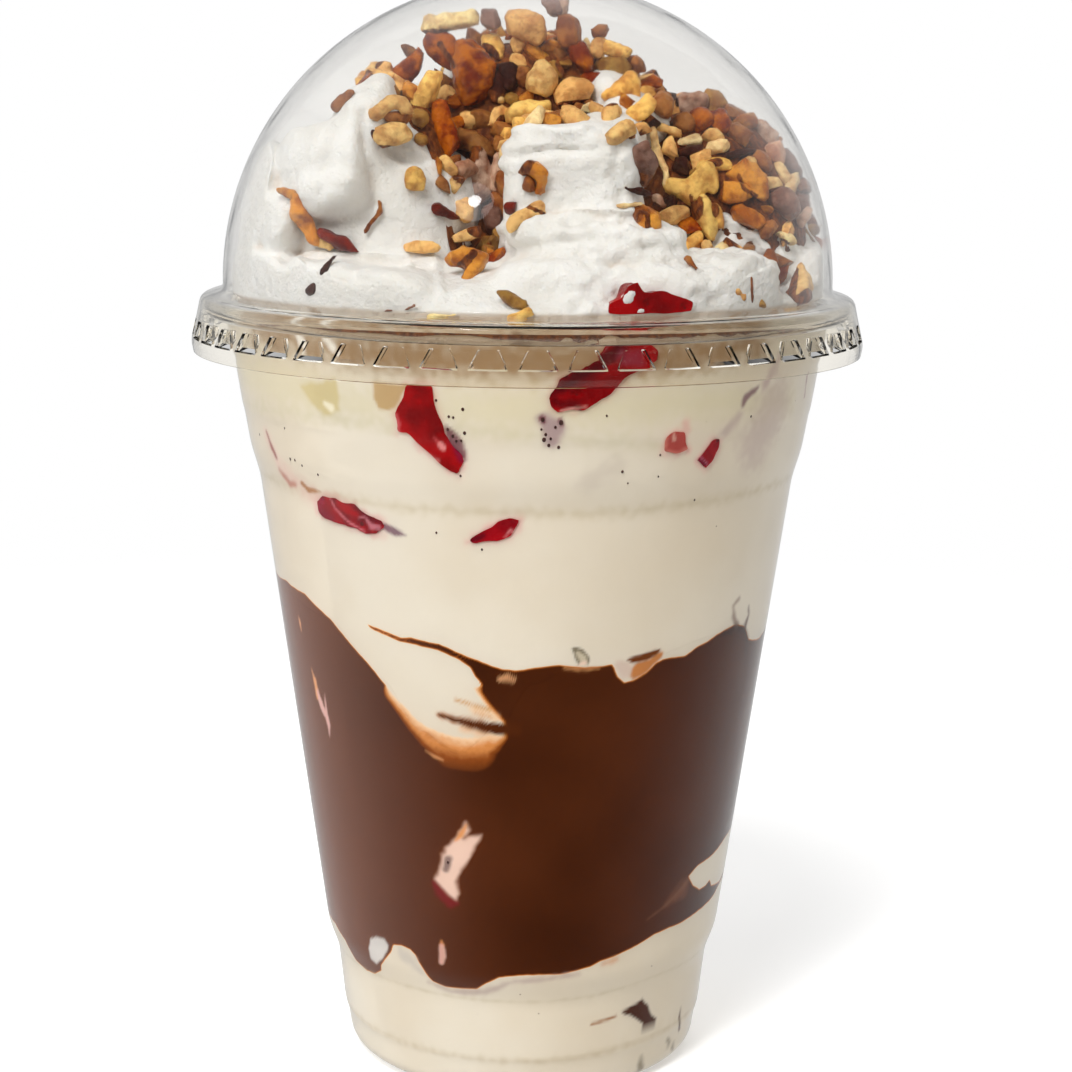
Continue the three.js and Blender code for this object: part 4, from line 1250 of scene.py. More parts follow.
# %% Whipped cream shape
CREAM_VOXEL = 0.62
CREAM_COVER = LID_WALL + 0.8
SLAB_TOP = 130.0  # a mound starts as a slab this high, and its top is moved later
PRESSED = 0.9  # how softly cream turns flat where it meets the dome, in millimetres


def mound(edge, rings, columns):
    """A round slab with rings on its top."""
    top = [(float(r), SLAB_TOP) for r in np.linspace(0, edge, rings)]
    return spun(top + [(edge, MOUND_FOOT), (0.0, MOUND_FOOT)], columns)


def cream_height(x, y):
    """Height of the plain heap at each place, as in the CAD model."""
    best = BANK["middle"] - BANK["fall"] * (np.hypot(x, y) / BANK["reach"]) ** 4
    for px, py, top, across, deep, square in PUFFS:
        along_x = np.abs((x - px) / across) ** (square / 2)
        along_y = np.abs((y - py) / deep) ** (square / 2)
        away = np.hypot(along_x, along_y)
        rise = (top - MOUND_FOOT) * np.sqrt(np.clip(1 - away**2, 0, 1))
        best = np.maximum(best, MOUND_FOOT + rise)
    return best


def lobe(bm, middle, sizes, tilt=0.0, square=2.0):
    """Adds one rounded lobe. A higher square makes it more like a block."""
    made = bmesh.ops.create_icosphere(bm, subdivisions=3, radius=1)
    for vertex in made["verts"]:
        spread = sum(abs(side) ** square for side in vertex.co) ** (1 / square)
        vertex.co /= spread
    turn = Matrix.Translation(middle) @ Matrix.Rotation(math.radians(tilt), 4, "Y")
    bmesh.ops.transform(bm, matrix=turn @ Matrix.Diagonal((*sizes, 1)), verts=made["verts"])


def inside_dome(points, cover):
    """Presses points that lie outside the dome back against its inner face."""
    radius = np.hypot(points[:, 0], points[:, 1])
    shoulder = np.where(points[:, 2] < DOME_FOOT, DOME_RADIUS, dome_radius(points[:, 2]))
    rim_room = np.interp(points[:, 2], [117.4, 119.2], [RIM_RADIUS - RIM_ROLL - 0.7, DOME_RADIUS])
    limit = np.minimum(shoulder, rim_room) - cover
    eased = limit - PRESSED * np.log1p(np.exp((limit - radius) / PRESSED))
    squeeze = eased / np.maximum(radius, 1e-6)
    return points * np.stack([squeeze, squeeze, np.ones_like(squeeze)], 1)


heap = mound(44.5, 56, 180)
points = places(heap)
on_top = points[:, 2] > (SLAB_TOP + MOUND_FOOT) / 2
points[on_top, 2] = cream_height(points[on_top, 0], points[on_top, 1])
points[~on_top, 2] = FILL_LEVEL + 0.4
move_to(heap, points)
for px, py, y, wide, tall, deep, tilt, square in FRONT_LOBES:
    size = pixel_size(y)
    lobe(heap, on_plane(px, py, y), (wide * size, deep, tall * size), tilt, square)
for x, y, z, wide, deep, tall in SIDE_LOBES:
    lobe(heap, Vector((x, y, z)), (wide, deep, tall))
heap = remeshed(heap, CREAM_VOXEL)
soften(heap, 6)
points = places(heap)
heap.normal_update()
normals = np.array([v.normal for v in heap.verts])
level = heap.copy()
soften(level, 40)
hollow_shade = ((places(level) - points) * normals).sum(1)
level.free()
swell = lumpy(points, 9, 2.0) * 0.7 + lumpy(points, 4.2, 7.0) * 0.4
to_the_right = np.clip((points[:, 0] + 6) / 24, -0.5, 0.7)
torn = np.clip(lumpy(points, 10, 4.0) * 1.4 + 0.2 + to_the_right, 0, 1)
torn *= np.interp(points[:, 2], [128, 138], [1, 0.45])
crumb = lumpy(points, 2.3, 9.0) * 0.9 + lumpy(points, 1.25, 13.0) * 0.55
shift = swell * (1 - 0.5 * torn) + crumb * torn
flat = in_picture(points)
faces_camera = (normals * (np.array(CAMERA_AT) - points)).sum(1) > 0
folded = np.zeros(len(points))
for rise, *stroke in FOLDS:
    amount = np.zeros(len(points))
    for (x0, y0, half0), (x1, y1, half1) in zip(stroke, stroke[1:]):
        away, share = to_line(flat, np.array((x0, y0), float), np.array((x1, y1), float))
        amount = np.maximum(amount, np.exp(-((away / (half0 + (half1 - half0) * share)) ** 2)))
    folded += rise * amount * faces_camera * (points[:, 1] < 0)
shift += folded
points += normals * shift[:, None]
points[:, 2] = np.maximum(points[:, 2], FILL_LEVEL + 0.2)
points = inside_dome(points, CREAM_COVER)
move_to(heap, points)
bmesh.ops.recalc_face_normals(heap, faces=heap.faces[:])
cream_tree = BVHTree.FromBMesh(heap)
print("the whipped cream has", len(heap.verts), "vertices")

# %% [markdown]
# ## Whipped cream finish
# Whipped cream is a foam, so light travels a short way inside it and softens its shadows.
# Tiny pores and soft lumps go into the relief. Hollows and the foot by the rim are painted
# darker and warmer, as painted shade.

# %% Whipped cream
whipped = Finish("whipped_cream", IOR=1.36, Subsurface_Weight=0.25, Subsurface_Scale=0.0025)
whipped.feed(whipped.shader.inputs["Subsurface Radius"], (1.0, 0.85, 0.7))
whites = paint(231, 230, 226), paint(223, 221, 215)
white = whipped.blend(whipped.step(whipped.grain(9, 3), 0.35, 0.7), *whites)
# painted shade: hollows, pushed-in folds and torn pits are painted darker and warmer
shade_in_hollow = whipped.step(whipped.stored("hollow_shade"), 0.15, 1.3, 0, 0.7)
white = whipped.blend(shade_in_hollow, white, paint(196, 170, 142))
# painted shade: the foot of the mound, low by the rim under the lid's shoulder, is painted darker
# and warmer
shade_at_foot = whipped.step(whipped.stored("foot"), 0, 1, 0, 0.75)
white = whipped.blend(shade_at_foot, white, paint(176, 146, 106))
whipped.colour(white)
whipped.roughness(whipped.step(whipped.grain(2, 2), 0.3, 0.7, 0.5, 0.7))
pores = whipped.step(whipped.cells(0.8), 0.05, 0.4)
whipped.relief(whipped.grain(1.3, 4) + pores * 0.15, 0.35)
cream_piece = piece("piped_cream", heap, whipped, "whipped_cream", "whipped_cream", sharp=80)
# the painted shade also grows in torn pits and along folds pushed inwards
hollow_shade = hollow_shade + 0.25 * torn * (crumb < -0.25) - 0.3 * np.minimum(folded, 0)
keep(cream_piece.data, "hollow_shade", hollow_shade)
# where the painted shade at the foot lies
keep(cream_piece.data, "foot", np.interp(points[:, 2], [118.0, 120.4], [1, 0]))

# %% [markdown]
# ## Chopped nuts
# Chopped walnuts break into waxy chips with pale cut faces and brown skin on the outside.
# Each nut that shows is drawn as a stroke in the picture: places with a half width. The
# stroke is lifted on to the heap along the lines of sight, each stretch of it becomes the
# hull of two knots of random points, which gives flat broken faces, and a remesh rounds
# the edges. Every vertex keeps its own colour, how much skin it has and how shiny it is,
# so one material serves all the nuts.

# %% Nut strokes
NUT_KINDS = {  # screen colour, shine
    "pale": ((254, 224, 162), 0.3),
    "tan": ((242, 194, 120), 0.4),
    "yellow": ((248, 200, 108), 0.5),
    "toffee": ((212, 144, 54), 0.75),
    "caramel": ((188, 100, 10), 1.0),
    "brown": ((162, 104, 50), 0.65),
    "olive": ((164, 122, 56), 0.55),
    "pink": ((212, 172, 144), 0.6),
    "purple": ((148, 110, 94), 0.6),
    "red": ((116, 30, 14), 0.75),
    "dark": ((64, 26, 12), 0.5),
}
# Each nut: its kind, then its places as (across, down, half width) in pixels of the picture
SEEN_NUTS = [
    ("pale", (428, 24, 9), (440, 25, 10), (471, 19, 10)), ("brown", (450, 24, 5), (452, 25, 5)),
    ("purple", (490, 10, 10), (491, 20, 10)), ("purple", (552, -2, 9), (557, 13, 8)),
    ("pink", (563, -2, 7), (565, 9, 7)), ("tan", (517, 22, 13), (535, 30, 15)),
    ("tan", (519, 45, 9), (520, 47, 8)),
    ("yellow", (490, 44, 11), (499, 46, 10), (497, 56, 5)),
    ("caramel", (437, 41, 13), (451, 55, 14)),
    ("caramel", (464, 57, 18), (474, 76, 22), (478, 90, 18)), ("dark", (494, 76, 9), (499, 96, 9)),
    ("tan", (371, 71, 9), (372, 73, 9)), ("tan", (385, 69, 10), (387, 72, 9)),
    ("caramel", (414, 62, 12), (403, 77, 11)), ("brown", (404, 50, 6), (412, 54, 7)),
    ("yellow", (434, 77, 9), (428, 90, 12), (419, 102, 9)),
    ("tan", (376, 114, 7), (387, 103, 7), (402, 101, 7), (408, 112, 6)),
    ("brown", (388, 116, 6), (406, 120, 7)),
    ("olive", (418, 117, 9), (421, 119, 9)), ("tan", (381, 137, 10), (395, 135, 11), (408, 133, 8)),
    ("olive", (420, 138, 8), (421, 140, 7)), ("dark", (374, 133, 3), (373, 139, 3)),
    ("caramel", (440, 108, 9), (442, 128, 13), (449, 148, 12)),
    ("brown", (456, 138, 9), (474, 142, 10), (485, 152, 9)),
    ("toffee", (438, 159, 4), (440, 175, 4)), ("pink", (478, 158, 12), (482, 184, 17)),
    ("pink", (461, 172, 9), (470, 168, 9)),
    ("pink", (496, 158, 7), (494, 186, 8)), ("brown", (500, 142, 8), (498, 149, 7)),
    ("tan", (501, 110, 7), (494, 125, 6)),
    ("yellow", (516, 114, 11), (530, 112, 12), (543, 110, 10)),
    ("tan", (541, 76, 13), (542, 82, 15)), ("brown", (521, 72, 9), (524, 80, 8)),
    ("tan", (561, 97, 9), (573, 90, 12), (585, 90, 10)), ("tan", (547, 121, 8), (553, 121, 7)),
    ("tan", (568, 114, 10), (584, 118, 11)), ("brown", (566, 27, 13), (572, 36, 13)),
    ("caramel", (577, 50, 11), (584, 68, 10)), ("olive", (554, 68, 8), (556, 74, 7)),
    ("dark", (507, 66, 10), (508, 84, 9)), ("olive", (511, 97, 7), (513, 99, 6)),
    ("pale", (500, 97, 5), (501, 100, 5)),
    ("brown", (352, 95, 5), (338, 108, 7)), ("yellow", (410, 184, 7), (415, 176, 9), (421, 185, 7)),
    ("toffee", (522, 172, 5), (532, 166, 7), (543, 176, 7), (541, 190, 6)),
    ("brown", (529, 183, 8), (531, 187, 7)),
    ("brown", (598, 33, 7), (606, 32, 7)), ("tan", (598, 52, 8), (600, 42, 7)),
    ("yellow", (607, 48, 7), (623, 52, 8)),
    ("olive", (606, 67, 10), (621, 66, 10)), ("brown", (633, 63, 8), (640, 68, 6)),
    ("yellow", (605, 98, 6), (622, 90, 10), (631, 80, 9), (635, 93, 7)),
    ("tan", (606, 116, 9), (616, 112, 9)),
    ("yellow", (632, 116, 7), (641, 111, 10), (648, 102, 9)),
    ("brown", (662, 107, 13), (664, 110, 12)),
    ("dark", (676, 100, 4), (678, 110, 4)), ("brown", (647, 90, 4), (670, 95, 4)),
    ("tan", (612, 140, 9), (628, 127, 9)), ("brown", (629, 133, 5), (631, 137, 4)),
    ("purple", (640, 152, 12), (645, 174, 13)),
    ("pale", (651, 131, 5), (656, 150, 4), (666, 170, 2.5), (665, 186, 2.5)),
    ("tan", (661, 127, 5), (677, 133, 5)), ("tan", (670, 146, 10), (671, 154, 9)),
    ("pale", (681, 144, 6), (697, 139, 7)),
    ("dark", (684, 153, 8), (698, 152, 7)), ("pink", (688, 104, 11), (700, 100, 8)),
    ("brown", (684, 122, 11), (688, 126, 9)),
    ("caramel", (699, 118, 11), (702, 124, 11)), ("caramel", (716, 118, 11), (722, 124, 11)),
    ("pale", (710, 149, 7), (724, 144, 8)),
    ("brown", (732, 132, 10), (745, 138, 10)), ("dark", (728, 155, 4), (755, 153, 4)),
    ("pink", (758, 130, 10), (768, 140, 12)),
    ("pink", (772, 147, 11), (776, 158, 10)), ("brown", (760, 160, 9), (764, 166, 8)),
    ("pale", (777, 165, 5), (786, 181, 6)),
    ("pale", (793, 177, 6), (790, 194, 7)), ("pale", (766, 184, 7), (775, 186, 7)),
    ("purple", (780, 200, 12), (788, 208, 12)),
    ("pink", (797, 223, 6), (812, 211, 6)), ("purple", (800, 196, 9), (806, 204, 8)),
    ("purple", (784, 156, 8), (796, 172, 8)), ("brown", (801, 182, 6), (808, 192, 7)),
    ("purple", (808, 214, 7), (814, 224, 6)),
    ("yellow", (672, 187, 8), (691, 193, 10), (704, 173, 11), (713, 186, 8)),
    ("yellow", (697, 199, 9), (703, 214, 10), (710, 230, 10)),
    ("yellow", (712, 212, 8), (718, 226, 7)),
    ("toffee", (738, 172, 13), (752, 177, 12), (758, 193, 10)),
    ("toffee", (731, 190, 13), (744, 196, 10)),
    ("yellow", (706, 162, 6), (726, 165, 6)), ("tan", (746, 162, 8), (750, 166, 7)),
    ("toffee", (736, 213, 9), (756, 224, 9)), ("brown", (766, 232, 9), (768, 227, 8)),
    ("pale", (779, 237, 6), (792, 240, 6)),
    ("toffee", (644, 216, 13), (648, 222, 12)), ("tan", (664, 221, 9), (680, 214, 10)),
    ("dark", (626, 189, 4), (650, 194, 4)),
    ("pink", (655, 198, 5), (661, 204, 5)), ("pale", (618, 206, 3), (642, 204, 3.5)),
    ("dark", (670, 200, 8), (676, 205, 7)),
    ("dark", (680, 163, 9), (686, 168, 8)), ("olive", (694, 173, 8), (690, 180, 7)),
    ("toffee", (280, 190, 2.5), (295, 195, 5)),
    ("toffee", (295, 195, 5), (302, 216, 9), (317, 239, 7)),
    ("tan", (322, 242, 7), (331, 246, 7)), ("red", (325, 234, 7), (340, 243, 8), (356, 252, 3)),
    ("dark", (336, 256, 3), (329, 263, 3.6), (322, 270, 4.2), (315, 278, 5), (306, 288, 6)),
    ("brown", (379, 201, 1.8), (382, 210, 2.4), (370, 225, 2.0), (366, 233, 2.2)),
    ("tan", (409, 247, 7), (434, 248, 7)),
    ("toffee", (453, 257, 9), (468, 256, 11), (480, 262, 10), (466, 277, 7)),
    ("olive", (504, 296, 8), (521, 306, 7)), ("yellow", (513, 324, 7), (529, 313, 6)),
    ("red", (436, 208, 6), (458, 220, 5)),
    ("tan", (464, 207, 10), (466, 214, 9)), ("tan", (455, 239, 5), (478, 231, 7)),
    ("purple", (492, 212, 10), (494, 226, 9)),
    ("red", (508, 209, 5), (515, 205, 5)), ("tan", (512, 226, 8), (537, 211, 9)),
    ("pale", (427, 319, 2.5), (455, 318, 3)),
    ("brown", (686, 258, 3), (695, 268, 4)), ("tan", (800, 270, 6), (801, 284, 10), (800, 298, 12)),
    ("tan", (738, 290, 5), (747, 295, 6)), ("brown", (752, 276, 2), (754, 303, 2.5)),
    ("olive", (763, 302, 6), (767, 308, 6)),
    ("purple", (384, 312, 3), (390, 311, 3)), ("purple", (404, 309, 1.5), (415, 306, 2.5)),
    ("purple", (404, 318, 2), (408, 317, 2)),
]
# Brown skin that shows on a nut, drawn in the same way
SEEN_SKIN = [
    [(474, 253, 4), (462, 266, 5), (456, 278, 5)], [(793, 270, 4), (790, 284, 6), (789, 298, 5)],
    [(647, 212, 3), (648, 230, 3)], [(738, 176, 2), (744, 190, 2), (756, 196, 2)],
    [(722, 176, 2), (719, 200, 3)],
    [(524, 205, 2), (544, 214, 2)], [(690, 196, 2), (698, 218, 2)], [(560, 104, 2), (590, 101, 2)],
    [(598, 106, 2), (634, 101, 2)], [(366, 146, 2), (404, 149, 2)], [(440, 44, 3), (454, 66, 3)],
]
print(len(SEEN_NUTS), "nuts are drawn")

# %% [markdown]
# ## Shapes of nuts
# A small chip is the hull of a few random points with its edges bevelled once, so that it
# has only a few dozen faces. The patches say where the small chips lie and how thick.

# %% Nut shapes
# Patches of nuts on the heap: x, y, half width, half depth, thickness
NUT_PATCHES = [(-4, -2, 25, 17, 6.5), (25, -3, 20, 17, 6.0), (-7, -15, 6.5, 9, 2.6)]
FILLER_CHIPS = 700
CHIP_ROOM = 1.7  # least distance between small chips, in millimetres
FORMS = 16
NUT_VOXEL = 0.36


def nut_thickness(x, y):
    """How thick the nuts lie at each place, negative where there are none."""
    best = np.full(np.shape(x), -1.0)
    for px, py, across, deep, thick in NUT_PATCHES:
        away = np.hypot((x - px) / across, (y - py) / deep)
        best = np.maximum(best, thick * (1 - away**3))
    return best


def direction(draw):
    """A random direction."""
    return Vector([draw.gauss(0, 1) for _ in range(3)]).normalized()


def hull(knots, draw, count=12):
    """The hull of random points round each knot, a knot being a place and a half size."""
    bm = bmesh.new()
    for middle, size in knots:
        for _ in range(count):
            bm.verts.new(middle + direction(draw) * size * draw.uniform(1.05, 1.22))
    made = bmesh.ops.convex_hull(bm, input=bm.verts[:])
    left_over = made["geom_interior"] + made["geom_unused"]
    loose = {part for part in left_over if isinstance(part, bmesh.types.BMVert)}
    bmesh.ops.delete(bm, geom=list(loose), context="VERTS")
    bmesh.ops.recalc_face_normals(bm, faces=bm.faces[:])
    return bm


def as_mesh(bm):
    """Turns a bmesh into a mesh and frees it."""
    mesh = bpy.data.meshes.new("form")
    bm.to_mesh(mesh)
    bm.free()
    return mesh


def chip_form(draw):
    """One small chip of half size 1, for the many that fill the heap."""
    bm = hull([(Vector((0, 0, 0)), 1.0)], draw, 13)
    bmesh.ops.bevel(
        bm,
        geom=bm.edges[:],
        offset=0.1,
        affect="EDGES",
        segments=1,
        profile=0.5,
        material=-1,
        clamp_overlap=True,
    )
    bmesh.ops.recalc_face_normals(bm, faces=bm.faces[:])
    return as_mesh(bm)


def nut_from(knots, draw):
    """One nut along a chain of knots, with broken faces and rounded edges."""
    bm = bmesh.new()
    for pair in zip(knots, knots[1:]):
        part = as_mesh(hull(pair, draw))
        bm.from_mesh(part)
        bpy.data.meshes.remove(part)
    bm = remeshed(bm, NUT_VOXEL)
    soften(bm, 3)
    points = places(bm)
    normals = np.array([v.normal for v in bm.verts])
    seed = draw.uniform(0, 90)
    wave = 0.3 * lumpy(points, 2.4, seed) + 0.16 * lumpy(points, 1.0, seed + 5)
    move_to(bm, points + normals * wave[:, None])
    return as_mesh(bm)


class NutHeap:
    """Gathers nuts in one bmesh, with the numbers that their material reads."""

    def __init__(self):
        self.bm = bmesh.new()
        self.tints, self.skins, self.shines = [], [], []

    def add(self, form, matrix, kind, draw, skinned=0.3):
        """Places one nut. skinned is the chance that brown skin covers one side of it."""
        placed = form.copy()
        placed.transform(matrix)
        self.bm.from_mesh(placed)
        bpy.data.meshes.remove(placed)
        colour, shine = NUT_KINDS[kind]
        change, warmth = draw.uniform(0.92, 1.05), draw.uniform(-0.04, 0.04)
        levels = [level * change * (1 + warmth * (1 - i)) for i, level in enumerate(colour)]
        tint = paint(*[min(255, level) for level in levels])
        # the skin side mostly faces down: real brown skin that also gives the lower edges painted
        # shade
        side = Vector((draw.gauss(0, 0.6), draw.gauss(-0.2, 0.4), draw.choice((-1, -1, 0.4))))
        points = places(form)
        middle = points.mean(0)
        out = points - middle
        facing = out @ np.array(side.normalized()) / np.linalg.norm(out, axis=1)
        has_skin = 1.0 if draw.random() < skinned else 0.0
        self.skins.append(np.clip((facing - 0.45) * 4, 0, 1) * has_skin)
        self.tints.append(np.tile(tint, (len(points), 1)))
        self.shines.append(np.full(len(points), shine))

    def finish(self, name):
        """Turns the heap into a piece and stores the numbers on it."""
        made = piece(name, self.bm, nut, "nut", "chopped_nuts", sharp=42)
        keep_colour(made.data, "tint", np.concatenate(self.tints))
        keep(made.data, "skin", np.concatenate(self.skins))
        keep(made.data, "shine", np.concatenate(self.shines))
        return made


draw = random.Random(5)
chip_forms = [chip_form(draw) for _ in range(FORMS)]
print("the small chips have", [len(form.polygons) for form in chip_forms], "faces")

# %% [markdown]
# ## Nut finish
# The pale flesh of a walnut is a little blotchy and waxy, and its skin is brown with
# darker veins. Toffee-coloured pieces are glossy.

# %% Nut finish
nut = Finish("nut", IOR=1.46, Subsurface_Weight=0.08, Subsurface_Scale=0.0012)


def stained(share, under, stain):
    """Darkens a colour by a stain, as much as the share says."""
    return nut.blend(share, under, nut.blend(1.0, under, stain, "MULTIPLY"))


flesh = nut.stored("tint", "Color")
blotches = nut.step(nut.grain(1.6, 4), 0.4, 0.75, 0, 0.5)
flesh = stained(blotches, flesh, paint(205, 160, 120))
pits = nut.step(nut.grain(0.9, 3), 0.3, 0.5, 0.35, 0.0)
flesh = stained(pits, flesh, paint(160, 105, 70))
burnt = nut.stored("shine") * nut.step(nut.grain(3.2, 3), 0.4, 0.64)
flesh = stained(burnt, flesh, paint(168, 112, 66))
veins = nut.step(nut.grain(0.6, 4, (1, 1, 0.4)), 0.35, 0.65)
skin = nut.blend(veins, paint(78, 34, 14), paint(136, 74, 28))
skin_share = nut.step(nut.stored("skin") + (nut.grain(0.8, 3) - 0.5) * 0.8, 0.35, 0.65)
nut.colour(nut.blend(skin_share, flesh, skin))
nut.roughness(0.62 - nut.stored("shine") * 0.42 + (nut.grain(0.8, 2) - 0.5) * 0.2)
nut.relief(nut.grain(0.7, 4) + nut.grain(0.25, 2) * 0.3, 0.22)
print("nut finish has", len(nut.nodes), "nodes")

# %% [markdown]
# ## The crumb and shade under the nuts
# A dark crumb fills the gaps between the nuts. Its dark brown is partly painted shade, for
# the shade deep between them. It is a mound like the cream's, raised where nuts lie and
# sunk elsewhere, also where the picture shows bare cream.

# %% Nut crumb and shade
CRUMB_DEPTH = 1.4  # how far the crumb stays under the top of the nuts
CRUMB_SUNK = 8.0  # how far it lies under the cream where there are no nuts
CRUMB_COVER = CREAM_COVER + 0.6
# Bare cream: to the right of this place in the picture and below a line that starts there
# and falls by this share. In front of BARE_BEHIND only, so the back keeps its crumb.
BARE_PLACE, BARE_FALL = (710, 216), 0.25
BARE_BEHIND = 5.0
BARE_SUNK = 4.0

core = mound(44.0, 45, 140)
points = places(core)
on_top = points[:, 2] > (SLAB_TOP + MOUND_FOOT) / 2
cream_top = cream_height(points[:, 0], points[:, 1])
thick = nut_thickness(points[:, 0], points[:, 1])
rise = np.where(thick > 0, thick - CRUMB_DEPTH, -CRUMB_SUNK)
points[on_top, 2] = (cream_top + rise)[on_top]
points[~on_top, 2] = MOUND_FOOT + 1
points[:, 2] += np.where(on_top, lumpy(points, 2.6, 3.0) * 0.8, 0)
points = inside_dome(points, CRUMB_COVER)
across, down = in_picture(points).T
below = down > BARE_PLACE[1] + BARE_FALL * (across - BARE_PLACE[0])
bare = on_top & (points[:, 1] < BARE_BEHIND) & (across > BARE_PLACE[0]) & below
cream_top = cream_height(points[:, 0], points[:, 1])
points[bare, 2] = np.minimum(points[:, 2], cream_top - BARE_SUNK)[bare]
move_to(core, points)
core_tree = BVHTree.FromBMesh(core)
print(int(bare.sum()), "vertices of the crumb are sunk under bare cream")

# %% [markdown]
# ## Where a nut can lie
# These helpers look along lines of sight and straight down, to find the surface that a
# nut lies on, and keep it under the dome.

# %% Placing helpers
NUT_GAP = 0.3  # between a nut and the dome


def seen_at(px, py, tree):
    """Where the line of sight through a place in the picture meets the heap."""
    hit = tree.ray_cast(CAMERA_AT, line_of_sight(px, py))
    return hit[0], hit[1]


def heap_top(x, y):
    """The highest of cream and nut core at one place."""
    best = None
    for tree in (cream_tree, core_tree):
        hit = tree.ray_cast(Vector((x, y, 200)), Vector((0, 0, -1)))
        if hit[0] is not None and (best is None or hit[0].z > best[0].z):
            best = hit[:2]
    return best


def nearest_sight(px, py):
    """The nearer of cream and nut core along a line of sight."""
    hits = [seen_at(px, py, tree) for tree in (cream_tree, core_tree)]
    hits = [hit for hit in hits if hit[0] is not None]
    return min(hits, key=lambda hit: (hit[0] - CAMERA_AT).length) if hits else None


def keep_in_dome(middle, reach):
    """Moves a chip's middle so that the chip stays under the dome."""
    for _ in range(40):
        share = (middle.z + reach * 0.6 - DOME_FOOT) / (DOME_RISE - LID_WALL - NUT_GAP)
        inner = (DOME_RADIUS - LID_WALL - NUT_GAP) * math.sqrt(max(0.0, 1 - max(0.0, share) ** 2))
        room = inner - reach * 0.8
        away = math.hypot(middle.x, middle.y)
        if away <= max(room, 0.5) and share < 0.985:
            return middle
        middle = Vector((middle.x * 0.985, middle.y * 0.985, middle.z - 0.25))
    return middle


print("placing helpers ready")

# %% [markdown]
# ## Nuts that show
# A nut that the picture shows lies where the line of sight through its place meets the
# heap, and about half of it is sunk in. Nuts at the skyline meet nothing, so they go to a
# plane near the middle of the cup.

# %% Nuts that show
SUNK = 0.5  # share of a nut's half width that lies in front of the heap's surface
LIFT = 0.7  # millimetres that the slightest one stands out
GROWN = 1.08  # the rounding of a nut's edges takes this much off it
THINNEST = 3.3  # half width in pixels of the slightest nut
TOP_DEPTH = -2.0  # where a nut goes that shows above the heap
SPAN, SPAN_SHARE = 3.0, 0.6  # how far back a nut may reach, and how much of the slope it follows
draw = random.Random(21)
chips = NutHeap()
for kind, *stroke in SEEN_NUTS:
    found = [nearest_sight(px, py) for px, py, _ in stroke]
    stroke = [(px, py, max(half * GROWN, THINNEST)) for px, py, half in stroke]
    spots = [
        hit[0] if hit else on_plane(px, py, TOP_DEPTH) for hit, (px, py, _) in zip(found, stroke)
    ]
    far = [(spot - CAMERA_AT).length for spot in spots]
    near = min(far)
    knots = []
    for (px, py, half), reach in zip(stroke, far):
        reach = near + min(reach - near, SPAN) * SPAN_SHARE
        size = half * pixel_size(CAMERA_AT.y + reach)
        middle = CAMERA_AT + line_of_sight(px, py) * (reach - max(size * SUNK, LIFT))
        knots.append((keep_in_dome(middle, size), size))
    chips.add(nut_from(knots, draw), Matrix(), kind, draw, 0.25)
print(len(SEEN_NUTS), "nuts lie where the picture shows them")

skins = np.concatenate(chips.skins)
points = places(chips.bm)
flat = in_picture(points)
for stroke in SEEN_SKIN:
    for (x0, y0, half0), (x1, y1, half1) in zip(stroke, stroke[1:]):
        away, share = to_line(flat, np.array((x0, y0)), np.array((x1, y1)))
        skins = np.maximum(skins, np.clip((half0 + (half1 - half0) * share - away) / 2 + 0.5, 0, 1))
chips.skins = [skins]
chips.finish("walnut_pieces")

# %% [markdown]
# ## Chips that fill the heap
# Small chips are scattered over the heap, as many as fit, so it looks right from the sides
# and back as well. In sight of the camera they keep clear of the nuts that the picture
# shows, and they take darker colours as painted shade, because they lie deeper there.

# %% Small chips
ROOM_IN_PICTURE = 2.2  # pixels
BARE_FROM = (690, 236)  # to the right of and below this place in the picture the cream is bare
# painted shade: darker kinds for chips that lie deeper, in sight of the camera
SUNK_SHADED_KINDS = ["brown", "brown", "olive", "tan", "toffee", "caramel", "dark"]
FILLER_KINDS = ["tan"] * 4 + ["pale"] * 2 + ["yellow"] * 3 + ["brown"] * 4
FILLER_KINDS += ["olive", "caramel", "pink", "dark", "toffee"]
TRIES = 12000
FIELD = 45  # half width of the square in which places are tried


def hides_a_nut(middle):
    """Whether a chip would show in front of a nut that the picture draws."""
    spot = in_picture(np.array([middle]))
    for _, *stroke in SEEN_NUTS:
        for (x0, y0, half0), (x1, y1, half1) in zip(stroke, stroke[1:]):
            away, share = to_line(spot, np.array((x0, y0), float), np.array((x1, y1), float))
            if away[0] < half0 + (half1 - half0) * share[0] + ROOM_IN_PICTURE:
                return True
    return False


def in_sight(middle):
    """Whether the camera can see a chip here."""
    (px, py), = in_picture(np.array([middle]))
    hit = nearest_sight(px, py)
    return hit is None or (hit[0] - CAMERA_AT).length > (middle - CAMERA_AT).length - 3.0


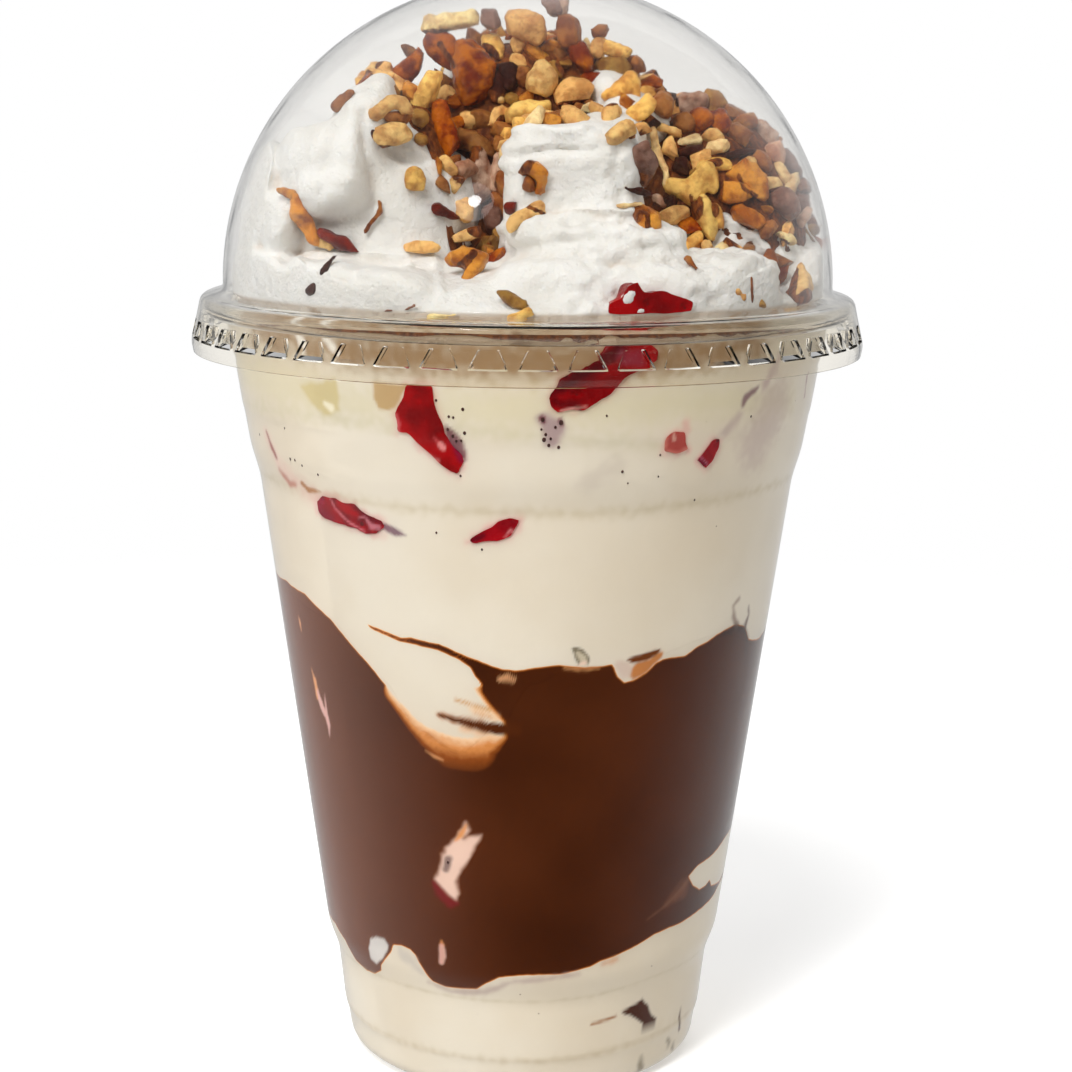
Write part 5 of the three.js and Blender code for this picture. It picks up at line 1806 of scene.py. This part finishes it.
filler = NutHeap()
spots = []
for _ in range(TRIES):
    x, y = draw.uniform(-FIELD, FIELD), draw.uniform(-FIELD, FIELD)
    thick = float(nut_thickness(np.array(x), np.array(y)))
    if thick < 0.2 or len(spots) >= FILLER_CHIPS:
        continue
    if any((x - a) ** 2 + (y - b) ** 2 < CHIP_ROOM**2 for a, b in spots):
        continue
    found = heap_top(x, y)
    if found is None:
        continue
    size = draw.uniform(1.3, 2.3)
    middle = keep_in_dome(found[0] + found[1] * size * draw.uniform(-0.2, 0.5), size)
    kind = draw.choice(FILLER_KINDS)
    if in_sight(middle):
        (px, py), = in_picture(np.array([middle]))
        if hides_a_nut(middle) or (px > BARE_FROM[0] and py > BARE_FROM[1]):
            continue
        middle = middle - found[1] * 0.5
        # painted shade: a deeper chip takes a darker kind
        kind = draw.choice(SUNK_SHADED_KINDS)
    spots.append((x, y))
    spin = Matrix.Rotation(draw.uniform(0, math.tau), 4, direction(draw))
    sides = [size * draw.uniform(low, high) for low, high in ((1, 1.5), (0.7, 1), (0.7, 1))]
    shape = Matrix.Diagonal((*sides, 1))
    filler.add(draw.choice(chip_forms), Matrix.Translation(middle) @ spin @ shape, kind, draw)
print(len(spots), "more chips fill the heap")
filler.finish("small_walnut_chips")

core_heap = NutHeap()
core_heap.bm = core
# partly painted shade: the crumb's dark brown and skin stand for the shade deep between the nuts
core_heap.tints = [np.tile(paint(92, 52, 25), (len(core.verts), 1))]
core_heap.skins = [np.full(len(core.verts), 0.6)]
core_heap.shines = [np.full(len(core.verts), 0.2)]
core_heap.finish("nut_crumbs_and_shade")

# %% [markdown]
# ## Studio
# The dessert stands on a pale floor in soft light. The key light is a round softbox in
# front, high on the left. Only a small lamp near its middle shows in reflections, with a
# fainter glow round it, as the bright spot on the dome. The floor fades out, so the white
# behind it has no edge.

# %% Floor and lamps
scene = bpy.context.scene
scene.view_settings.view_transform = "Standard"
FLOOR_REACH = 600.0
FLOOR_DROP = 0.2  # the floor lies this far under the cup, so that the two don't flicker
FLOOR_FADE = (0.12, 0.42)  # the floor fades out from here to here, in metres from its middle
AIM = Vector((0, 0, 95))

floor_finish = Finish(
    "pale_floor", Base_Color=paint(250, 250, 250), Roughness=0.7, Emission_Strength=0.26
)
floor_finish.feed(floor_finish.shader.inputs["Emission Color"], (1, 1, 1, 1))
floor_bm = bmesh.new()
bmesh.ops.create_circle(floor_bm, cap_ends=True, segments=96, radius=FLOOR_REACH * MM)
floor_mesh = bpy.data.meshes.new("floor")
floor_bm.to_mesh(floor_mesh)
floor_bm.free()
floor = bpy.data.objects.new("floor", floor_mesh)
bpy.context.collection.objects.link(floor)
floor_mesh.materials.append(floor_finish.material)
floor.location.z = -FLOOR_DROP * MM
floor.visible_glossy = False
spot = floor_finish.place()
distance = floor_finish.add("ShaderNodeVectorMath", {"operation": "LENGTH"}, {0: spot}, "Value")
cover = floor_finish.step(distance, *FLOOR_FADE, 1.0, 0.0)
floor_finish.feed(floor_finish.shader.inputs["Alpha"], cover)


def lamp(name, place, size, power, colour=(1, 1, 1), aim=AIM):
    """A round softbox that points at the dessert."""
    light = bpy.data.lights.new(name, "AREA")
    light.shape = "DISK"
    light.energy, light.size, light.color = power, size * MM, colour
    made = bpy.data.objects.new(name, light)
    bpy.context.collection.objects.link(made)
    made.location = Vector(place) * MM
    made.rotation_euler = (Vector(place) - aim).to_track_quat("Z", "Y").to_euler()
    made.visible_transmission = False
    made.visible_glossy = False
    return made


lamp("key_light", (-520, -940, 830), 260, 6.1)
lamp("dome_light", (-150, -450, 900), 300, 3.7)
lamp("left_front", (-900, -420, 300), 500, 2.0)
lamp("left_strip", (-900, 320, 260), 620, 1.2)
lamp("right_fill", (900, -420, 350), 600, 2.2, (1.0, 0.96, 0.9))
lamp("right_strip", (900, 420, 260), 500, 0.8)
lamp("back_light", (100, 900, 700), 700, 2.2)
lamp("glint", (-380, -950, 793), 100, 0.5).visible_glossy = True
lamp("glow", (-388, -970, 806), 300, 0.45).visible_glossy = True
print(len(bpy.data.lights), "lamps light the dessert")

# %% [markdown]
# ## World
# The world is white where the camera looks at it, directly or through the plastic, and
# softer where it only lights things. Reflections see it dark in front and bright behind
# and below, which keeps the middle of the cup clear and lights its edges. One image of a
# real room would be the usual way, but it couldn't be white behind the cup and soft
# elsewhere at the same time.

# %% World
WORLD_LIGHT = 0.45  # brightness of the world for surfaces that it lights
WORLD_IN_GLOSS = (0.06, 0.64)  # and for reflections of it, in front of the cup and behind it
GLOSS_FADE = (-0.65, 0.6)  # from where to where the reflected brightness rises, towards the back
FADE_BY_X, FADE_BY_Z = -0.2, -0.45  # how much a side or a height adds to that

world = bpy.data.worlds.new("studio")
scene.world = world
world.use_nodes = True
nodes, links = world.node_tree.nodes, world.node_tree.links
background = nodes["Background"]
path = nodes.new("ShaderNodeLightPath")


def maths(operation, *values):
    """One Math node of the world. Values are numbers or outputs of other nodes."""
    node = nodes.new("ShaderNodeMath")
    node.operation = operation
    for socket, value in zip(node.inputs, values):
        if isinstance(value, float):
            socket.default_value = value
        else:
            links.new(value, socket)
    return node.outputs[0]


bounces = maths("ADD", path.outputs["Diffuse Depth"], path.outputs["Glossy Depth"])
through = maths("MULTIPLY", path.outputs["Is Transmission Ray"], maths("LESS_THAN", bounces, 0.5))
seen = maths("MAXIMUM", path.outputs["Is Camera Ray"], through)
direction_of = nodes.new("ShaderNodeSeparateXYZ")
links.new(nodes.new("ShaderNodeTexCoord").outputs["Generated"], direction_of.inputs[0])
fade = nodes.new("ShaderNodeMapRange")
fade.interpolation_type = "SMOOTHSTEP"
backwards = maths("MULTIPLY_ADD", direction_of.outputs["X"], FADE_BY_X, direction_of.outputs["Y"])
backwards = maths("MULTIPLY_ADD", direction_of.outputs["Z"], FADE_BY_Z, backwards)
links.new(backwards, fade.inputs["Value"])
fade_ends = zip(("From Min", "From Max", "To Min", "To Max"), GLOSS_FADE + WORLD_IN_GLOSS)
for socket, value in fade_ends:
    fade.inputs[socket].default_value = value
glossy = maths("LESS_THAN", path.outputs["Diffuse Depth"], 0.5)
lit = maths("MULTIPLY", glossy, maths("SUBTRACT", fade.outputs["Result"], WORLD_LIGHT))
lit = maths("ADD", lit, WORLD_LIGHT)
unseen = maths("SUBTRACT", 1.0, seen)
links.new(maths("ADD", seen, maths("MULTIPLY", unseen, lit)), background.inputs["Strength"])
background.inputs["Color"].default_value = (1, 1, 1, 1)
print("the world has", len(nodes), "nodes")
